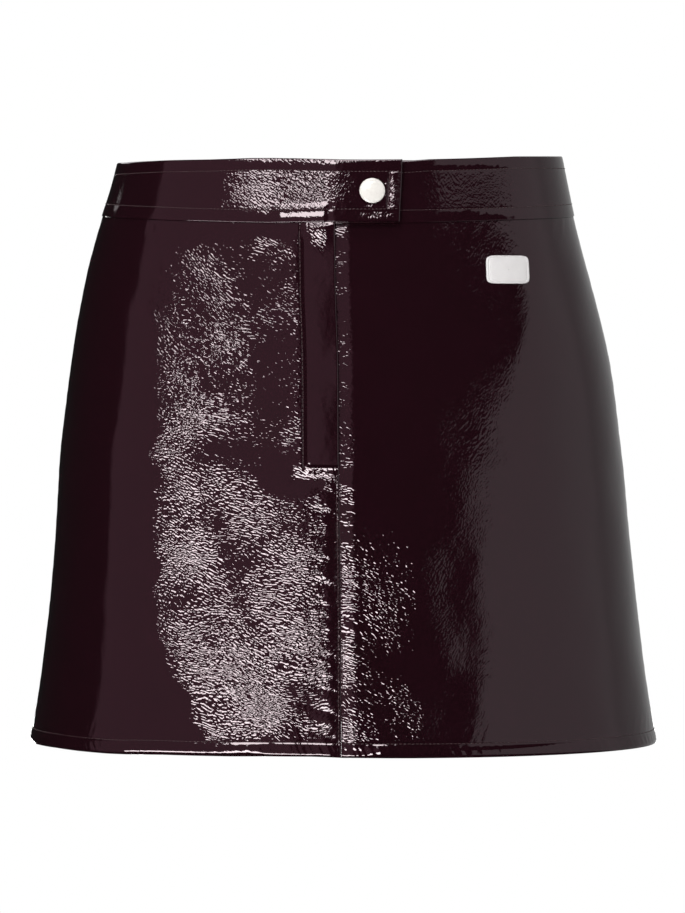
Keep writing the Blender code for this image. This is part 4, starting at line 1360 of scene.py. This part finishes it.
def light_panel(name, rows, distance, strength, soft, steps=12, colour=(1.0, 1.0, 1.0, 1.0)):
    """A lit panel bent round the skirt. rows are (elevation, first and last azimuth), from below.

    It fades out over its border; soft is the width of that, as a share of the panel's.
    """
    mesh = bpy.data.meshes.new(name)
    share = np.linspace(0.0, 1.0, steps + 1)
    elevations = np.interp(share, np.linspace(0.0, 1.0, len(rows)), [row[0] for row in rows])
    points, where = [], []
    for v, elevation in zip(share, elevations):
        first = np.interp(elevation, [row[0] for row in rows], [row[1] for row in rows])
        last = np.interp(elevation, [row[0] for row in rows], [row[2] for row in rows])
        for u in share:
            points.append(bearing(first + (last - first) * u, elevation, distance))
            where.append((u, v))
    row = steps + 1
    mesh.from_pydata(points, [], [
        (i * row + j, i * row + j + 1, (i + 1) * row + j + 1, (i + 1) * row + j)
        for i in range(steps) for j in range(steps)
    ])
    across = mesh.uv_layers.new(name="panel")
    for loop in mesh.loops:
        across.data[loop.index].uv = where[loop.vertex_index]
    made = link(name, mesh)
    lit = bpy.data.materials.new(name)
    lit.use_nodes = True
    tree = lit.node_tree
    tree.nodes.clear()
    uv = add(tree, "ShaderNodeSeparateXYZ",
             {0: add(tree, "ShaderNodeUVMap", uv_map="panel").outputs[0]})
    fades = []
    for way, width in zip(uv.outputs, soft):
        centred = add(tree, "ShaderNodeMath", {0: way, 1: 0.5}, operation="SUBTRACT")
        far = add(tree, "ShaderNodeMath", {0: centred.outputs[0]}, operation="ABSOLUTE")
        fades.append(add(tree, "ShaderNodeMapRange", {
            "Value": far.outputs[0], "From Min": 0.5, "From Max": 0.5 - width,
            "To Min": 0.0, "To Max": 1.0}, interpolation_type="SMOOTHSTEP"))
    fade = add(tree, "ShaderNodeMath", {0: fades[0].outputs[0], 1: fades[1].outputs[0]},
               operation="MULTIPLY")
    glow = add(tree, "ShaderNodeEmission", {"Color": colour, "Strength": strength})
    clear = add(tree, "ShaderNodeBsdfTransparent")
    faded = add(tree, "ShaderNodeMixShader", {0: fade.outputs[0], 1: clear.outputs[0],
                                              2: glow.outputs[0]})
    add(tree, "ShaderNodeOutputMaterial", {"Surface": faded.outputs[0]})
    mesh.materials.append(lit)
    made.visible_camera = False
    made.visible_shadow = False
    return made


print("the panels bend round", tuple(round(value, 2) for value in CENTRE))

# %% [markdown]
# On the left hang two bright lamps, one low and one high, in front of a large dim rose panel.  On
# the right stands a large grey panel with a bent edge, and a second one behind it lights the rim
# of the side.  A small lamp overhead draws the line along the top edge, and two behind keep the
# back from going black.

# %% The eight panels
ROSE, COOL_WHITE = (1.0, 0.66, 0.78, 1.0), (0.96, 1.0, 0.97, 1.0)
light_panel("panel_left_dim", [(-35, 78, -1), (62, 78, -1)], 3.2, 0.22, (0.06, 0.04), colour=ROSE)
light_panel("panel_low", [(-24, 55, -1), (-9, 55, -1)], 3.0, 16.0, (0.05, 0.06),
            colour=COOL_WHITE)
light_panel("panel_high", [(29, 13, 1), (31, 30, 1), (36, 35, 0), (42, 34, -12), (50, 34, -14)],
            3.0, 11.0, (0.05, 0.06), 24, COOL_WHITE)
light_panel("panel_right", [(-38, -25, -170), (3, -25, -170), (21, -66, -170), (24, -50, -170),
                            (26, -27, -170), (60, -27, -170)], 3.0, 0.36, (0.02, 0.02), 40)
light_panel("panel_side", [(-40, -88, -168), (60, -88, -168)], 2.9, 0.27, (0.16, 0.04))
light_panel("panel_overhead", [(62, 50, -46), (84, 50, -46)], 2.4, 6.5, (0.06, 0.1))
light_panel("panel_behind", [(-22, 205, 150), (-7, 205, 150)], 3.2, 8.0, (0.05, 0.06))
light_panel("panel_behind_high", [(18, 200, 120), (50, 200, 120)], 3.2, 1.2, (0.1, 0.1))
print("eight light panels")

# %% [markdown]
# ## Floor and surroundings
#
# A plain pale floor of matt paper.  The world is white to the camera only, so the picture has
# a white ground while the cloth reflects a dark studio.

# %% Floor and surroundings
FLOOR_HALF, FLOOR_Z = 1.8, -0.75
floor_mesh = bpy.data.meshes.new("floor")
floor_mesh.from_pydata([(FLOOR_HALF * x, FLOOR_HALF * y, FLOOR_Z)
                        for x, y in ((-1, -1), (1, -1), (1, 1), (-1, 1))], [], [(0, 1, 2, 3)])
floor = link("floor", floor_mesh)
paper, tree, shader = finish_of("studio_paper", Roughness=0.9)
shader.inputs["Base Color"].default_value = linear("#F4F3F1")
floor_mesh.materials.append(paper)
floor.visible_glossy = False

world = bpy.data.worlds.new("studio")
bpy.context.scene.world = world
world.use_nodes = True
tree = world.node_tree
tree.nodes.clear()
seen = add(tree, "ShaderNodeLightPath").outputs["Is Camera Ray"]
level = add(tree, "ShaderNodeMapRange", {"Value": seen, "To Min": 0.010, "To Max": 1.0})
sky = add(tree, "ShaderNodeBackground", {"Color": (1, 1, 1, 1), "Strength": level.outputs[0]})
add(tree, "ShaderNodeOutputWorld", {"Surface": sky.outputs[0]})
bpy.context.scene.view_settings.view_transform = "Standard"
print(f"the floor is {2 * FLOOR_HALF} m wide")

# %% [markdown]
# ## What was cut
#
# Each piece's cut is measured as far as it shows, round the form for its width and down the
# slope of its middle for its length, and its size is printed.

# %% Sizes of the cuts
def cut_of(first_at, last_at, tall):
    """Flat width and length and area of a cut, in metres, between two places at each height."""
    z = np.linspace(*tall, 60)
    side, half = girths(z)
    first, last = first_at(side, half), last_at(side, half)
    middle = (first + last) / 2
    step = np.linalg.norm(np.diff(form_point(middle, z), axis=0), axis=1)
    run = last - first
    area = float(np.sum((run[1:] + run[:-1]) / 2 * step))
    return (float(run.max()) * MM, float(step.sum()) * MM), area * MM * MM


panel_tall = (HEM_Z, -20.0)
band_tall = (-21.0, 20.0)
fly_edge, right_side = (lambda side, half: FLY_EDGE + 0 * side), (lambda side, half: -side)
left_side, back_end = (lambda side, half: side), (lambda side, half: 2 * half - side)
under_fly = (lambda side, half: FLY_EDGE - UNDERLAP + 0 * side)
tab_last = (lambda side, half: FLY_EDGE + TAB_LENGTH + 0 * side)
for piece, ends, tall, hangs_from in (
    (front_right, (right_side, fly_edge), panel_tall, "waistband_right_cloth"),
    (front_left, (under_fly, left_side), panel_tall, "waistband_left_cloth"),
    (back, (left_side, back_end), panel_tall, "waistband_back_cloth"),
    (bands["band_right"], (right_side, tab_last), band_tall, "waistband_back_cloth"),
    (bands["band_left"], (under_fly, left_side), band_tall, "waistband_right_cloth"),
    (bands["band_back"], (left_side, back_end), band_tall, "waistband_left_cloth"),
):
    flat, area = cut_of(*ends, tall)
    print(f"{piece.name}: cut from {flat[0] * 1000:.0f} x {flat[1] * 1000:.0f} mm")

# %% [markdown]
# ## Which CAD node each piece stands for
#
# Every piece rides on the one body, and the cloth, the tape and the badge take the place of
# plain CAD nodes.  The snap and the zip's slider stay CAD, and only get a better finish.

# %% Ride and replace
for piece, node in ((front_right, "front_right"), (front_left, "front_left"), (back, "back"),
                    *((band, node) for node, band in bands.items())):
    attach(piece, "root")
    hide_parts(node)
for piece in (*threads, zip_teeth, zip_tape):
    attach(piece, "root")
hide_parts("zip_tape")
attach(badge, "root")
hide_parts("badge")
for node, finish in (("snap_cap", enamel), ("snap_stud", nickel), ("zip_slider", nickel)):
    for slot in nodes[node].material_slots:
        slot.material = finish
